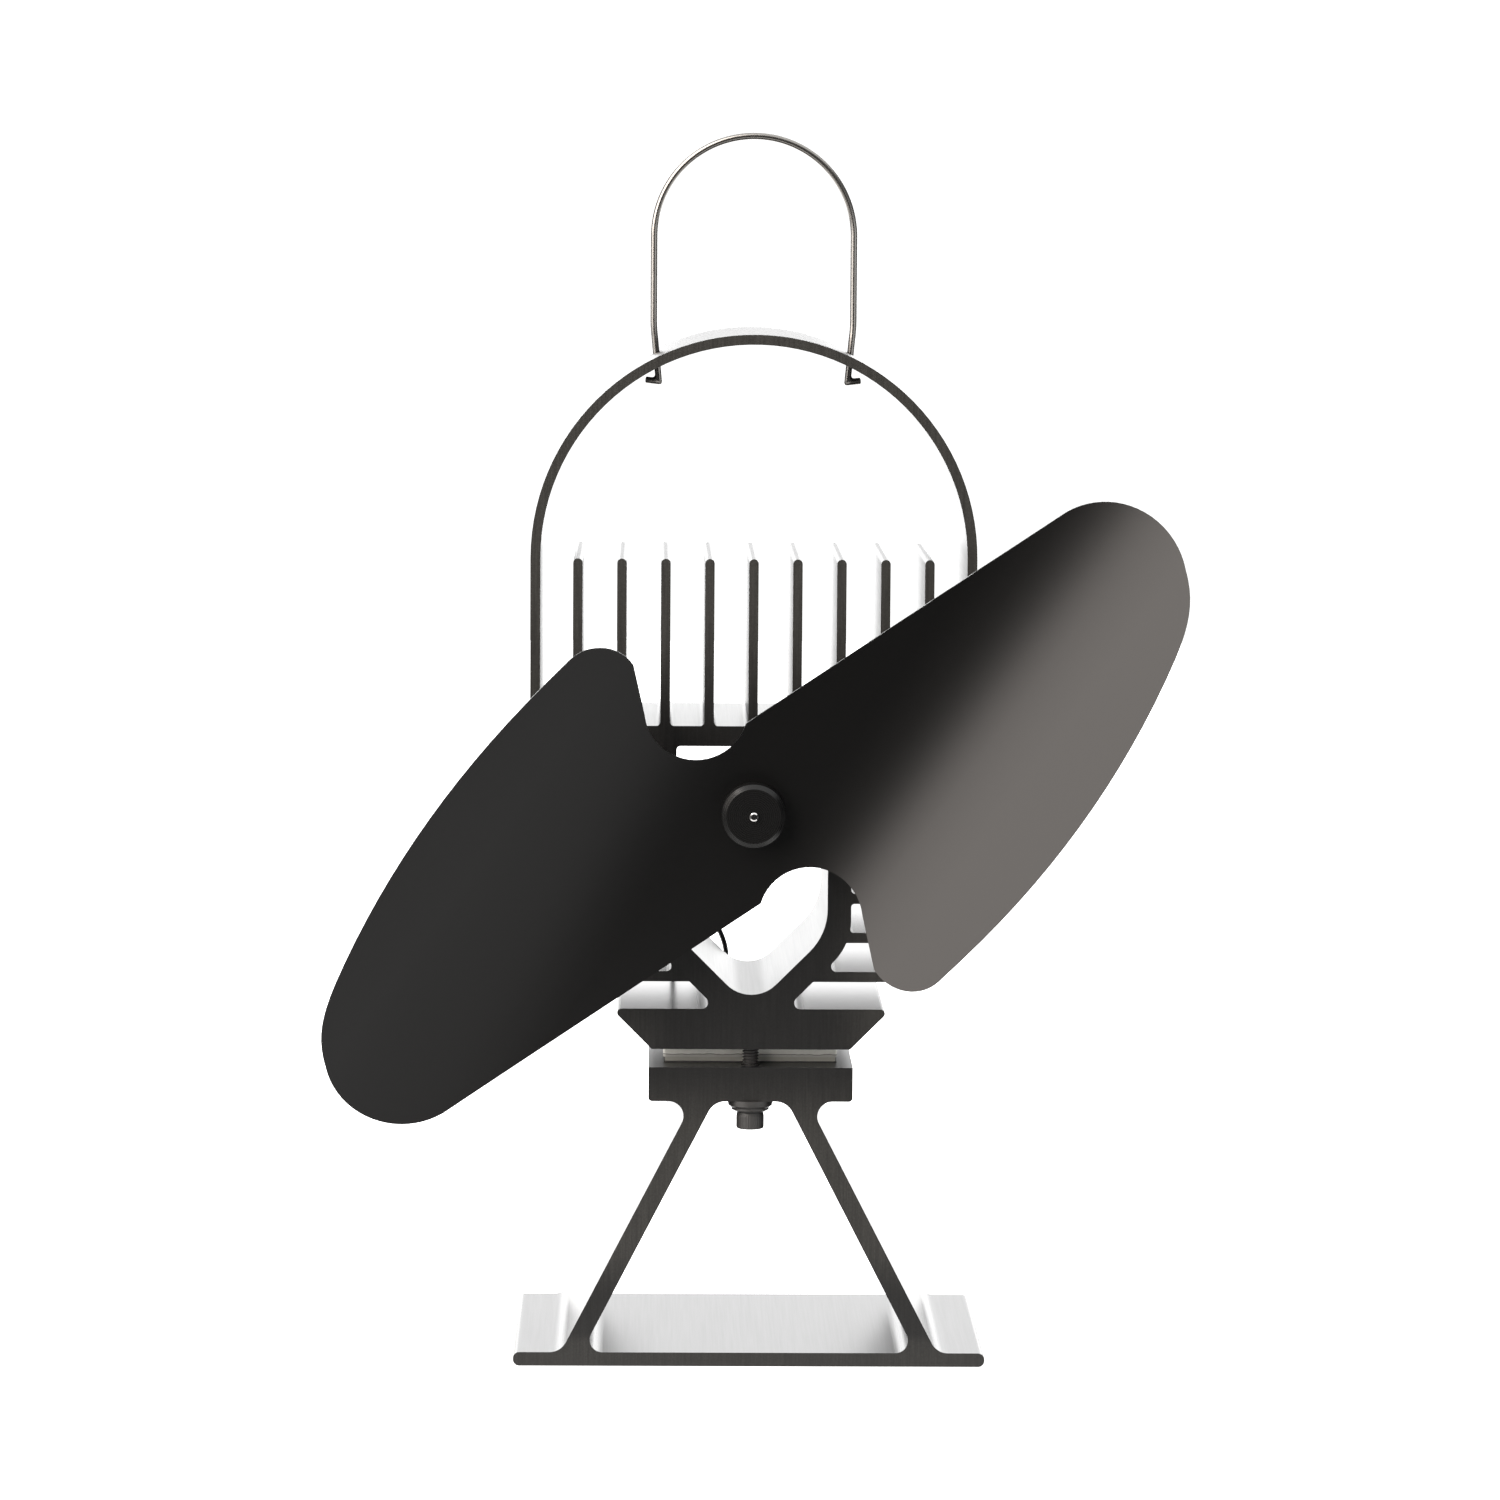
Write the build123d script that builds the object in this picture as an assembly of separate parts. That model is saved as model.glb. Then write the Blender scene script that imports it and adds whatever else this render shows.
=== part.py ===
from build123d import *
import math
import os

# Stove fan: a bent two-lobe blade on a small motor, held in a finned heat sink that is
# clamped over a thermoelectric module on a legged stand.
# Millimetres. X to the right, Y to the back, Z up. The origin is the centre of the
# stand's underside, and the blade is at the front, on the -Y side.

# Stand, one extrusion
stand_depth = 71.0
foot_overhang = 11.2
foot_thickness = 3.24
foot_end_radius = 1.5
stand_block_width = 47.8
stand_block_height = 8.02
stand_block_edge = 0.9
leg_height = 59.7
leg_width = 4.9
leg_reach_at_foot = 44.2
leg_reach_at_block = 13.43
leg_outer_foot_radius = 4.4
leg_inner_foot_radius = 3.0
leg_outer_top_radius = 3.5
leg_inner_top_radius = 4.4

# Thermoelectric module and its pads
module_side = 40.0
plate_thickness = 1.0
pellet_height = 1.83
pellet_side = 1.8
pellet_rows = 8
pellet_edge_margin = 2.6
pad_side = 40.6
pad_thickness = 0.25
seal_width = 1.3
seal_overhang = 0.45

# Heat sink, one extrusion
sink_depth = 57.1
sink_block_height = 9.5
sink_block_bottom_width = 46.4
sink_block_tip_radius = 1.0
cavity_width = 35.4
column_wall = 5.5
arm_thickness = 5.66
elbow_radius = 14.0
cavity_floor_radius = 8.14
cavity_corner_radius = 0.9
first_slot_height = 6.45
side_fin_pitch = 9.2
side_fin_thickness = 2.4
side_fin_levels = 6
low_fin_reach = 40.9
free_fin_gap = 4.0
slot_root_radius = 0.8
slot_floor_radius = 1.45
second_slot_radius = 1.25
crossbar_thickness = 4.7
top_fin_count = 9
outer_fin_inset = 8.7
top_fin_thickness = 2.2
top_fin_height = 38.9
top_fin_root_radius = 1.0
hoop_outer_radius = 51.8
hoop_wall = 2.3
hoop_rise = 0.1
hoop_corner_radius = 3.6
hoop_root_radius = 1.2

# Carrying handle, a sprung wire bail in two holes of the hoop
handle_wire = 1.6
handle_half_width = 23.5
handle_hole = 3.0
handle_hole_inset = 0.5
handle_crown_above_hoop = 45.65
handle_foot_drop = 12.4
handle_foot_inset = 1.3
handle_knee_rise = 1.0
handle_hook_length = 3.0
handle_hook_rise = 0.9
handle_hook_radius = 1.2
handle_knee_radius = 30.0

# Clamp screws, with their washers, and their holes
clamp_shank = 3.9
clamp_hole = 4.5
clamp_thread_gap = 0.05
clamp_bite = 8.0
clamp_hole_spare = 0.6
clamp_head = 6.5
clamp_head_height = 4.0
clamp_head_edge = 0.4
clamp_socket = 2.5
clamp_socket_depth = 1.9
washer_bore_gap = 0.2
flat_washer = 10.5
flat_washer_thickness = 0.85
spring_washer_tops = (10.3, 8.8)
spring_washer_bottoms = (8.9, 6.7)
spring_washer_thickness = 1.05
spring_washer_edge = 0.45

# Rotor axis and motor
axis_above_stand = 61.34
motor_diameter = 24.4
motor_length = 27.4
motor_front_ahead = 7.5
motor_wall = 0.8
motor_edge_radius = 1.0
boss_diameter = 6.2
boss_height = 1.4
bearing_diameter = 5.0
bearing_length = 3.0
shaft_diameter = 2.0
shaft_tip_chamfer = 0.3
running_gap = 0.03
fit_gap = 0.02
cap_plug_length = 2.0
cap_flange_thickness = 1.6
cap_boss_diameter = 8.0
cap_boss_height = 1.6
cap_boss_end = 0.6
cap_boss_edge = 0.5
shaft_end_gap = 0.4
magnet_thickness = 2.3
magnet_length = 16.0
magnet_arc_angle = 128.0
magnet_start = 3.2
magnet_gap = 0.1
air_gap = 0.4
core_length = 12.0
core_start = 3.5
core_hub_radius = 3.0
pole_count = 3
tooth_width = 3.0
pole_shoe_thickness = 1.5
pole_mouth = 2.0
coil_thickness = 1.2
coil_overhang = 1.5
coil_inner_radius = 3.6
coil_reach = 2.6
coil_gap = 0.05
commutator_radius = 2.6
commutator_length = 4.8
commutator_gap = 0.7
brush_width = 2.4
brush_length = 2.3
brush_gap = 0.05
brush_start = 1.4
brush_leaf = 0.3
terminal_offset = 5.15
terminal_width = 2.2
terminal_thickness = 0.4
terminal_length = 4.0

# Motor bracket, a bent strip across the cavity, and its screws
bracket_thickness = 1.2
bracket_height = 13.0
bracket_ear_reach = 24.2
bracket_inner_half = 14.5
bracket_bend_radius = 0.8
bracket_hole_gap = 0.15
motor_screw_spacing = 17.0
motor_screw_shank = 2.0
motor_screw_bite = 1.6
motor_screw_head = 3.6
motor_screw_head_height = 1.3
bracket_screw_shank = 3.0
bracket_screw_bite = 7.0
bracket_screw_head = 5.4
bracket_screw_head_height = 1.9
screw_thread_gap = 0.03
screw_cross_share = 0.55
screw_cross_width_share = 0.16
screw_cross_depth_share = 0.5
screw_edge_share = 0.35

# Blade and hub. The blade is cut from flat sheet and bent round lines that slant
# across it, so that both lobes lift forwards.
blade_radius = 114.6
blade_thickness = 1.1
blade_ahead = 13.2
blade_straight_half = 18.33
blade_straight_angle = 33.9
blade_bend_angle = 54.6
bend_flat_half = 8.3
bend_radius = 74.2
bend_turn = 30.2
bend_tail = 36.0
hub_diameter = 14.6
hub_thickness = 6.4
hub_chamfer = 1.0
hub_spigot = 6.0
collar_diameter = 12.0
collar_thickness = 2.6
collar_chamfer = 0.5
shaft_proud = 1.0

# Leads from the module to the motor, and the sleeves on their joints
lead_diameter = 1.2
lead_spread = 2.4
lead_inset = 2.0
lead_arc_share = 0.45
sleeve_bore = 2.4
sleeve_wall = 0.3
sleeve_length = 4.4

# Overrun of every cut past the faces it opens
overrun = 1.0

# Heights and depths that the sizes above settle
front_y = -stand_depth / 2
sink_back_y = front_y + sink_depth
sink_mid_y = front_y + sink_depth / 2
foot_width = 2 * (leg_reach_at_foot + foot_overhang)
stand_block_bottom = foot_thickness + leg_height
stand_top = stand_block_bottom + stand_block_height
module_stack = 2 * pad_thickness + 2 * plate_thickness + pellet_height
module_mid_z = stand_top + module_stack / 2
sink_bottom = stand_top + module_stack
sink_block_top = sink_bottom + sink_block_height
first_fin = sink_block_top + first_slot_height
hoop_fin = first_fin + side_fin_pitch
crossbar_bottom = first_fin + side_fin_levels * side_fin_pitch
crossbar_top = crossbar_bottom + crossbar_thickness
fin_tips = crossbar_top + top_fin_height
hoop_centre = fin_tips + hoop_rise
hoop_inner_radius = hoop_outer_radius - hoop_wall
hoop_top = hoop_centre + hoop_outer_radius
top_fin_pitch = 2 * (hoop_inner_radius - outer_fin_inset) / (top_fin_count - 1)
column_half = cavity_width / 2 + column_wall
axis_z = stand_top + axis_above_stand
motor_front_y = front_y - motor_front_ahead
cap_flange_y = motor_front_y + motor_length - cap_flange_thickness
motor_back_y = motor_front_y + motor_length
blade_back_y = front_y - blade_ahead + blade_thickness / 2
blade_front_y = blade_back_y - blade_thickness
hub_front_y = blade_front_y - hub_thickness


def rounded_outline(corners):
    """A closed outline: corners are (x, z, radius), and a radius of zero stays sharp."""
    outline = make_face(Polyline(*[(x, z) for x, z, _ in corners], close=True))
    return rounded_corners(outline, corners)


def rounded_corners(outline, corners):
    """Rounds the outline's vertices that lie at the given (x, z, radius)."""
    for x, z, radius in corners:
        if radius > 0:
            corner = outline.vertices().sort_by_distance((x, z, 0))[0]
            outline = fillet(corner, radius)
    return outline


def along_depth(face, y_front, y_back, height=0):
    """Extrudes a face drawn in X and Z from y_back forwards to y_front."""
    plane = Plane(origin=(0, y_back, height), x_dir=(1, 0, 0), z_dir=(0, -1, 0))
    return extrude(plane * face, amount=y_back - y_front)


def mirrored(corners):
    """The right-hand corners of a symmetric outline, followed by their mirror images."""
    return corners + [(-x, z, radius) for x, z, radius in reversed(corners)]


def bar(x_start, x_end, z_bottom, z_top):
    """A rectangle between two X places and two heights."""
    centre = ((x_start + x_end) / 2, (z_bottom + z_top) / 2)
    return Pos(*centre) * Rectangle(abs(x_end - x_start), z_top - z_bottom)


def screw(shank, length, head, head_height):
    """A pan-head cross screw along +Z, with its seat at the origin and its head below."""
    body = Pos(0, 0, length / 2) * Cylinder(shank / 2, length)
    cap = Pos(0, 0, -head_height / 2) * Cylinder(head / 2, head_height)
    cap = chamfer(cap.edges().group_by(Axis.Z)[0], head_height * screw_edge_share)
    depth = head_height * screw_cross_depth_share
    for angle in (0, 90):
        slot = Box(head * screw_cross_share, head * screw_cross_width_share, depth + overrun)
        cap -= Pos(0, 0, -head_height + (depth - overrun) / 2) * Rot(0, 0, angle) * slot
    return body + cap


def stand():
    """Foot plate, two splayed legs and the block under the module, in one extrusion."""
    half_foot = foot_width / 2
    foot = rounded_outline(mirrored([
        (half_foot, 0, foot_end_radius),
        (half_foot, foot_thickness, foot_end_radius),
    ]))
    half_block = stand_block_width / 2
    block = rounded_outline(mirrored([
        (half_block, stand_top, 0),
        (half_block, stand_block_bottom, stand_block_edge),
    ]))
    profile = foot + block
    for side in (1, -1):
        profile += make_face(Polyline(
            (side * leg_reach_at_foot, foot_thickness),
            (side * (leg_reach_at_foot - leg_width), foot_thickness),
            (side * (leg_reach_at_block - leg_width), stand_block_bottom),
            (side * leg_reach_at_block, stand_block_bottom),
            close=True,
        ))
    roots = [
        (leg_reach_at_foot, foot_thickness, leg_outer_foot_radius),
        (leg_reach_at_foot - leg_width, foot_thickness, leg_inner_foot_radius),
        (leg_reach_at_block, stand_block_bottom, leg_outer_top_radius),
        (leg_reach_at_block - leg_width, stand_block_bottom, leg_inner_top_radius),
    ]
    profile = rounded_corners(profile, mirrored(roots))
    solid = along_depth(profile, front_y, front_y + stand_depth)
    for y in clamp_places():
        hole = Cylinder(clamp_hole / 2, stand_block_height + 2 * overrun)
        solid -= Pos(0, y, stand_block_bottom + stand_block_height / 2) * hole
    return solid


def clamp_places():
    """The two clamp screws stand between the module and the sink's end faces."""
    offset = (module_side / 2 + sink_depth / 2) / 2
    return (sink_mid_y - offset, sink_mid_y + offset)


def cavity_outline():
    """The motor's cavity: straight walls, 45 degree floor and round bottom."""
    half = cavity_width / 2
    apex = sink_block_top
    return rounded_outline([
        (half, crossbar_bottom, cavity_corner_radius),
        (half, apex + half, elbow_radius),
        (0, apex, cavity_floor_radius),
        (-half, apex + half, elbow_radius),
        (-half, crossbar_bottom, cavity_corner_radius),
    ])


def column_outline():
    """The outside of the walls and slanted arms that carry the fins."""
    arm_across = arm_thickness * math.sqrt(2)
    elbow = sink_block_top + column_half - arm_across
    return rounded_outline(mirrored([
        (column_half, crossbar_top, 0),
        (column_half, elbow, elbow_radius),
        (arm_across, sink_block_top, 0),
        (arm_across, sink_bottom + sink_block_height / 2, 0),
    ]))


def hoop_outline():
    """The arched rim: a half circle on straight sides that turn into a side fin."""
    outer = rounded_outline(mirrored([
        (hoop_outer_radius, hoop_centre, 0),
        (hoop_outer_radius, hoop_fin, hoop_corner_radius),
    ])) + Pos(0, hoop_centre) * Circle(hoop_outer_radius)
    inner = rounded_outline(mirrored([
        (hoop_inner_radius, hoop_centre, 0),
        (hoop_inner_radius, hoop_fin + side_fin_thickness, hoop_root_radius),
    ])) + Pos(0, hoop_centre) * Circle(hoop_inner_radius)
    return outer - inner


def side_fins():
    """Fins to the left and right of the column, with round free ends."""
    fins = Sketch()
    for level in range(side_fin_levels):
        low = first_fin + level * side_fin_pitch
        reach = hoop_inner_radius - free_fin_gap
        if level == 0:
            reach = low_fin_reach
        tip = reach - side_fin_thickness / 2
        root = min(column_half - column_wall / 2, low - sink_block_top + arm_thickness / 2)
        for side in (1, -1):
            fins += bar(side * root, side * tip, low, low + side_fin_thickness)
            fins += Pos(side * tip, low + side_fin_thickness / 2) * Circle(side_fin_thickness / 2)
    return fins


def top_fins():
    """Upright fins on the crossbar, with full round tips."""
    fins = Sketch()
    tip_radius_here = top_fin_thickness / 2
    for index in range(top_fin_count):
        x = (index - (top_fin_count - 1) / 2) * top_fin_pitch
        root = crossbar_top - crossbar_thickness / 2
        fins += bar(x - tip_radius_here, x + tip_radius_here, root, fin_tips - tip_radius_here)
        fins += Pos(x, fin_tips - tip_radius_here) * Circle(tip_radius_here)
    return fins


def sink_roots():
    """The corners where fins and slots meet the column, crossbar and rim."""
    arm_across = arm_thickness * math.sqrt(2)
    right = [(arm_across, sink_block_top, slot_floor_radius)]
    low_top = first_fin + side_fin_thickness
    right.append((low_top - sink_block_top + arm_across, low_top, second_slot_radius))
    for level in range(1, side_fin_levels + 1):
        low = first_fin + level * side_fin_pitch
        if level > 1:
            right.append((column_half, low, slot_root_radius))
        if level < side_fin_levels:
            right.append((column_half, low + side_fin_thickness, slot_root_radius))
    right.append((hoop_inner_radius, crossbar_bottom, hoop_root_radius))
    right.append((hoop_inner_radius, crossbar_top, hoop_root_radius))
    for index in range(top_fin_count):
        x = (index - (top_fin_count - 1) / 2) * top_fin_pitch
        for side in (1, -1):
            edge = x + side * top_fin_thickness / 2
            if edge > 0:
                right.append((edge, crossbar_top, top_fin_root_radius))
    return mirrored(right)


def heat_sink():
    """Flared block, column round the motor, side fins, top fins and hoop, in one extrusion."""
    half_bottom = sink_block_bottom_width / 2
    profile = rounded_outline(mirrored([
        (half_bottom + sink_block_height, sink_block_top, sink_block_tip_radius),
        (half_bottom, sink_bottom, 0),
    ]))
    profile += column_outline() + hoop_outline()
    profile += bar(-hoop_inner_radius, hoop_inner_radius, crossbar_bottom, crossbar_top)
    profile += side_fins() + top_fins()
    profile -= cavity_outline()
    profile = rounded_corners(profile, sink_roots())
    solid = along_depth(profile, front_y, sink_back_y)
    for y in clamp_places():
        depth = clamp_bite + clamp_hole_spare + overrun
        hole = Cylinder(clamp_shank / 2 + clamp_thread_gap, depth)
        solid -= Pos(0, y, sink_bottom + depth / 2 - overrun) * hole
    for side in (1, -1):
        hole = Cylinder(handle_hole / 2, hoop_outer_radius / 2)
        solid -= Pos(side * handle_hole_x(), sink_mid_y, hoop_top - hoop_wall) * hole
        bore = Circle(bracket_screw_shank / 2 + screw_thread_gap)
        start = front_y - overrun
        end = front_y + bracket_screw_bite + screw_thread_gap
        solid -= along_depth(Pos(side * bracket_screw_x()) * bore, start, end, axis_z)
    return solid


def handle_hole_x():
    """Half the distance between the hoop's two handle holes."""
    return handle_half_width - handle_hole_inset


def bracket_screw_x():
    """The bracket's screws enter the middle of the two cavity walls."""
    return cavity_width / 2 + column_wall / 2


def handle():
    """A bent wire: two upright legs, a round crown and a short raised hook on each foot."""
    crown_z = hoop_top + handle_crown_above_hoop
    shoulder_z = crown_z - handle_half_width
    foot_z = hoop_top - handle_foot_drop
    knee_z = hoop_top + handle_knee_rise
    foot_x = handle_half_width - handle_foot_inset
    plane = Plane(origin=(0, sink_mid_y, 0), x_dir=(1, 0, 0), z_dir=(0, -1, 0))
    legs = []
    for side in (1, -1):
        legs.append(FilletPolyline(
            (side * (foot_x + handle_hook_length), foot_z + handle_hook_rise),
            (side * foot_x, foot_z),
            (side * handle_half_width, knee_z),
            (side * handle_half_width, shoulder_z),
            radius=[handle_hook_radius, handle_knee_radius],
        ))
    crown = ThreePointArc(
        (handle_half_width, shoulder_z), (0, crown_z), (-handle_half_width, shoulder_z)
    )
    path = plane * Wire(legs[0].edges() + crown.edges() + legs[1].edges())
    start = Plane(origin=path @ 0, z_dir=path % 0)
    return sweep(start * Circle(handle_wire / 2), path=path)


def module_layer(side, bottom, thickness):
    """A square layer of the module's stack, centred under the sink."""
    return Pos(0, sink_mid_y, bottom + thickness / 2) * Box(side, side, thickness)


def module_plates():
    """The two ceramic plates, hot side below and cold side above."""
    hot = module_layer(module_side, stand_top + pad_thickness, plate_thickness)
    cold_bottom = sink_bottom - pad_thickness - plate_thickness
    return hot, module_layer(module_side, cold_bottom, plate_thickness)


def module_pellets():
    """The thermoelectric legs that stand in rows between the plates."""
    span = module_side - 2 * pellet_edge_margin - pellet_side
    step = span / (pellet_rows - 1)
    bottom = stand_top + pad_thickness + plate_thickness
    pellets = []
    for row in range(pellet_rows):
        for column in range(pellet_rows):
            x = row * step - span / 2
            y = sink_mid_y + column * step - span / 2
            pellet = Box(pellet_side, pellet_side, pellet_height)
            pellets.append(Pos(x, y, bottom + pellet_height / 2) * pellet)
    return Compound(children=pellets)


def module_seal():
    """The bead that closes the module's edge between its plates."""
    bottom = stand_top + pad_thickness + plate_thickness
    outer = module_side + 2 * seal_overhang
    ring = module_layer(outer, bottom, pellet_height)
    edges = ring.edges().filter_by(Axis.Z)
    ring = fillet(edges, seal_width / 2)
    inner = outer - 2 * seal_width
    return ring - module_layer(inner, bottom, pellet_height)


def module_pads():
    """Thin graphite pads under the hot plate and over the cold plate."""
    lower = module_layer(pad_side, stand_top, pad_thickness)
    return lower, module_layer(pad_side, sink_bottom - pad_thickness, pad_thickness)


def washer_stack_height():
    """Height of the flat washer and the two spring washers under the stand's block."""
    return flat_washer_thickness + len(spring_washer_tops) * spring_washer_thickness


def clamp_screws():
    """Socket screws from below, through the stand's block and into the sink."""
    seat = stand_block_bottom - washer_stack_height()
    length = sink_bottom + clamp_bite - seat
    head = Pos(0, 0, -clamp_head_height / 2) * Cylinder(clamp_head / 2, clamp_head_height)
    head = chamfer(head.edges().group_by(Axis.Z)[0], clamp_head_edge)
    socket_depth = clamp_socket_depth + overrun
    socket = extrude(RegularPolygon(clamp_socket / 2, 6, major_radius=False), amount=socket_depth)
    head -= Pos(0, 0, -clamp_head_height - overrun) * socket
    body = head + Pos(0, 0, length / 2) * Cylinder(clamp_shank / 2, length)
    return Compound(children=[Pos(0, y, seat) * body for y in clamp_places()])


def flat_washers():
    """One plain washer under the block on each clamp screw."""
    bore = clamp_shank / 2 + washer_bore_gap
    ring = Circle(flat_washer / 2) - Circle(bore)
    solid = extrude(ring, amount=flat_washer_thickness)
    bottom = stand_block_bottom - flat_washer_thickness
    return Compound(children=[Pos(0, y, bottom) * solid for y in clamp_places()])


def spring_washers():
    """Two conical spring washers on each clamp screw, the smaller one below."""
    bore = clamp_shank / 2 + washer_bore_gap
    solids = []
    for y in clamp_places():
        top = stand_block_bottom - flat_washer_thickness
        for wide, narrow in zip(spring_washer_tops, spring_washer_bottoms):
            bottom = top - spring_washer_thickness
            section = make_face(Polyline(
                (bore, bottom),
                (narrow / 2, bottom),
                (wide / 2, top - spring_washer_edge),
                (wide / 2, top),
                (bore, top),
                close=True,
            ))
            solids.append(Pos(0, y, 0) * revolve(Plane.XZ * section, Axis.Z))
            top = bottom
    return Compound(children=solids)


def round_part(radius, y_front, y_back, bore=0):
    """A cylinder or ring on the rotor axis."""
    face = Circle(radius)
    if bore > 0:
        face -= Circle(bore)
    return along_depth(face, y_front, y_back, axis_z)


def motor_can():
    """A drawn steel cup with a boss for the front bearing."""
    radius = motor_diameter / 2
    can = round_part(radius, motor_front_y, cap_flange_y)
    can = fillet(can.edges().group_by(Axis.Y)[0], motor_edge_radius)
    can += round_part(boss_diameter / 2, motor_front_y - boss_height, motor_front_y)
    can -= round_part(radius - motor_wall, motor_front_y + motor_wall, cap_flange_y + overrun)
    bore = bearing_diameter / 2 + fit_gap
    can -= round_part(bore, motor_front_y - boss_height - overrun, motor_front_y + motor_length / 2)
    for side in (1, -1):
        hole = Circle(motor_screw_shank / 2 + screw_thread_gap)
        place = Pos(side * motor_screw_spacing / 2) * hole
        end = motor_front_y + motor_wall + overrun
        can -= along_depth(place, motor_front_y - overrun, end, axis_z)
    return can


def motor_end_cap():
    """The moulded cap that closes the can and holds the rear bearing."""
    radius = motor_diameter / 2
    plug_front = cap_flange_y - cap_plug_length
    cap = round_part(radius - motor_wall - fit_gap, plug_front, cap_flange_y)
    cap += round_part(radius, cap_flange_y, motor_back_y)
    boss_back = motor_back_y + cap_boss_height
    boss = round_part(cap_boss_diameter / 2, motor_back_y, boss_back)
    cap += chamfer(boss.edges().group_by(Axis.Y)[-1], cap_boss_edge)
    bore_end = boss_back - cap_boss_end
    cap -= round_part(bearing_diameter / 2 + fit_gap, plug_front - overrun, bore_end)
    return cap


def bearing(y_front):
    """A sintered bush for the shaft."""
    bore = shaft_diameter / 2 + running_gap
    return round_part(bearing_diameter / 2, y_front, y_front + bearing_length, bore)


def rear_bearing_front():
    """The rear bush sits on the closed end of the cap's boss."""
    return motor_back_y + cap_boss_height - cap_boss_end - bearing_length


def motor_magnets():
    """Two arc magnets on the wall of the can."""
    outer = motor_diameter / 2 - motor_wall - magnet_gap
    inner = outer - magnet_thickness
    half = math.radians(magnet_arc_angle / 2)
    reach = 2 * outer
    wedge = make_face(Polyline(
        (0, 0),
        (reach * math.cos(half), reach * math.sin(half)),
        (reach, reach * math.sin(half)),
        (reach, -reach * math.sin(half)),
        (reach * math.cos(half), -reach * math.sin(half)),
        close=True,
    ))
    start = motor_front_y + magnet_start
    arc = (Circle(outer) - Circle(inner)) & wedge
    magnets = []
    for angle in (90, 270):
        magnets.append(along_depth(Rot(0, 0, angle) * arc, start, start + magnet_length, axis_z))
    return Compound(children=magnets)


def core_radius():
    """The rotor core runs inside the magnets with the air gap."""
    return motor_diameter / 2 - motor_wall - magnet_gap - magnet_thickness - air_gap


def rotor_core():
    """Stacked plates with three poles."""
    radius = core_radius()
    shoe_inner = radius - pole_shoe_thickness
    face = Circle(radius) - Circle(shoe_inner)
    for index in range(pole_count):
        mouth = bar(0, radius + overrun, -pole_mouth / 2, pole_mouth / 2)
        face -= Rot(0, 0, (index + 1 / 2) * 360 / pole_count) * mouth
    face += Circle(core_hub_radius)
    for index in range(pole_count):
        tooth = bar(0, shoe_inner + pole_shoe_thickness / 2, -tooth_width / 2, tooth_width / 2)
        face += Rot(0, 0, index * 360 / pole_count) * tooth
    face -= Circle(shaft_diameter / 2 + fit_gap)
    start = motor_front_y + core_start
    return along_depth(face, start, start + core_length, axis_z)


def rotor_windings():
    """One coil round each tooth of the core."""
    inner = tooth_width / 2 + coil_gap
    outer = inner + coil_thickness
    start = motor_front_y + core_start
    coils = []
    for index in range(pole_count):
        turn = Rot(0, 0, index * 360 / pole_count)
        reach = coil_inner_radius + coil_reach
        block = turn * bar(coil_inner_radius, reach, -outer, outer)
        front = start - coil_overhang
        coil = along_depth(block, front, start + core_length + coil_overhang, axis_z)
        hole = turn * bar(coil_inner_radius - overrun, reach + overrun, -inner, inner)
        coil -= along_depth(hole, start - coil_gap, start + core_length + coil_gap, axis_z)
        coils.append(coil)
    return Compound(children=coils)


def commutator_front():
    """The commutator lies behind the coils."""
    return motor_front_y + core_start + core_length + coil_overhang + commutator_gap


def commutator():
    """The copper drum that the brushes run on."""
    start = commutator_front()
    end = start + commutator_length
    return round_part(commutator_radius, start, end, shaft_diameter / 2 + fit_gap)


def motor_brushes():
    """A carbon block on a leaf that stands on the end cap, on each side of the commutator."""
    start = commutator_front() + brush_start
    cap_face = cap_flange_y - cap_plug_length
    near = commutator_radius + brush_gap
    brushes = []
    for side in (1, -1):
        far = near + brush_length
        block = bar(side * near, side * far, -brush_width / 2, brush_width / 2)
        leaf = bar(side * far, side * (far + brush_leaf), -brush_width / 2, brush_width / 2)
        brush = along_depth(block, start, start + brush_width, axis_z)
        brushes.append(brush + along_depth(leaf, start, cap_face, axis_z))
    return Compound(children=brushes)


def motor_terminals():
    """Two solder tabs on the back of the end cap."""
    tabs = []
    for side in (1, -1):
        x = side * terminal_offset
        face = Pos(x) * Rectangle(terminal_thickness, terminal_width)
        tabs.append(along_depth(face, motor_back_y, motor_back_y + terminal_length, axis_z))
    return Compound(children=tabs)


def motor_bracket():
    """A strip bent to a hat: ears on the cavity walls and a raised middle for the motor."""
    seat = front_y - bracket_thickness
    inside = motor_front_y
    outside = motor_front_y - bracket_thickness
    leg = bracket_inner_half + bracket_thickness
    wide = bracket_bend_radius + bracket_thickness
    outline = rounded_outline(mirrored([
        (bracket_ear_reach, front_y, 0),
        (bracket_ear_reach, seat, 0),
        (leg, seat, bracket_bend_radius),
        (leg, outside, wide),
    ]))
    hollow = rounded_outline(mirrored([
        (bracket_inner_half, front_y + overrun, 0),
        (bracket_inner_half, inside, bracket_bend_radius),
    ]))
    strip = extrude(outline - hollow, amount=bracket_height)
    strip = Pos(0, 0, axis_z - bracket_height / 2) * strip
    centre = Circle(boss_diameter / 2 + bracket_hole_gap)
    strip -= along_depth(centre, outside - overrun, inside + overrun, axis_z)
    for side in (1, -1):
        small = Pos(side * motor_screw_spacing / 2) * Circle(motor_screw_shank / 2 + bracket_hole_gap)
        strip -= along_depth(small, outside - overrun, inside + overrun, axis_z)
        large = Pos(side * bracket_screw_x()) * Circle(bracket_screw_shank / 2 + bracket_hole_gap)
        strip -= along_depth(large, seat - overrun, front_y + overrun, axis_z)
    return strip


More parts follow.
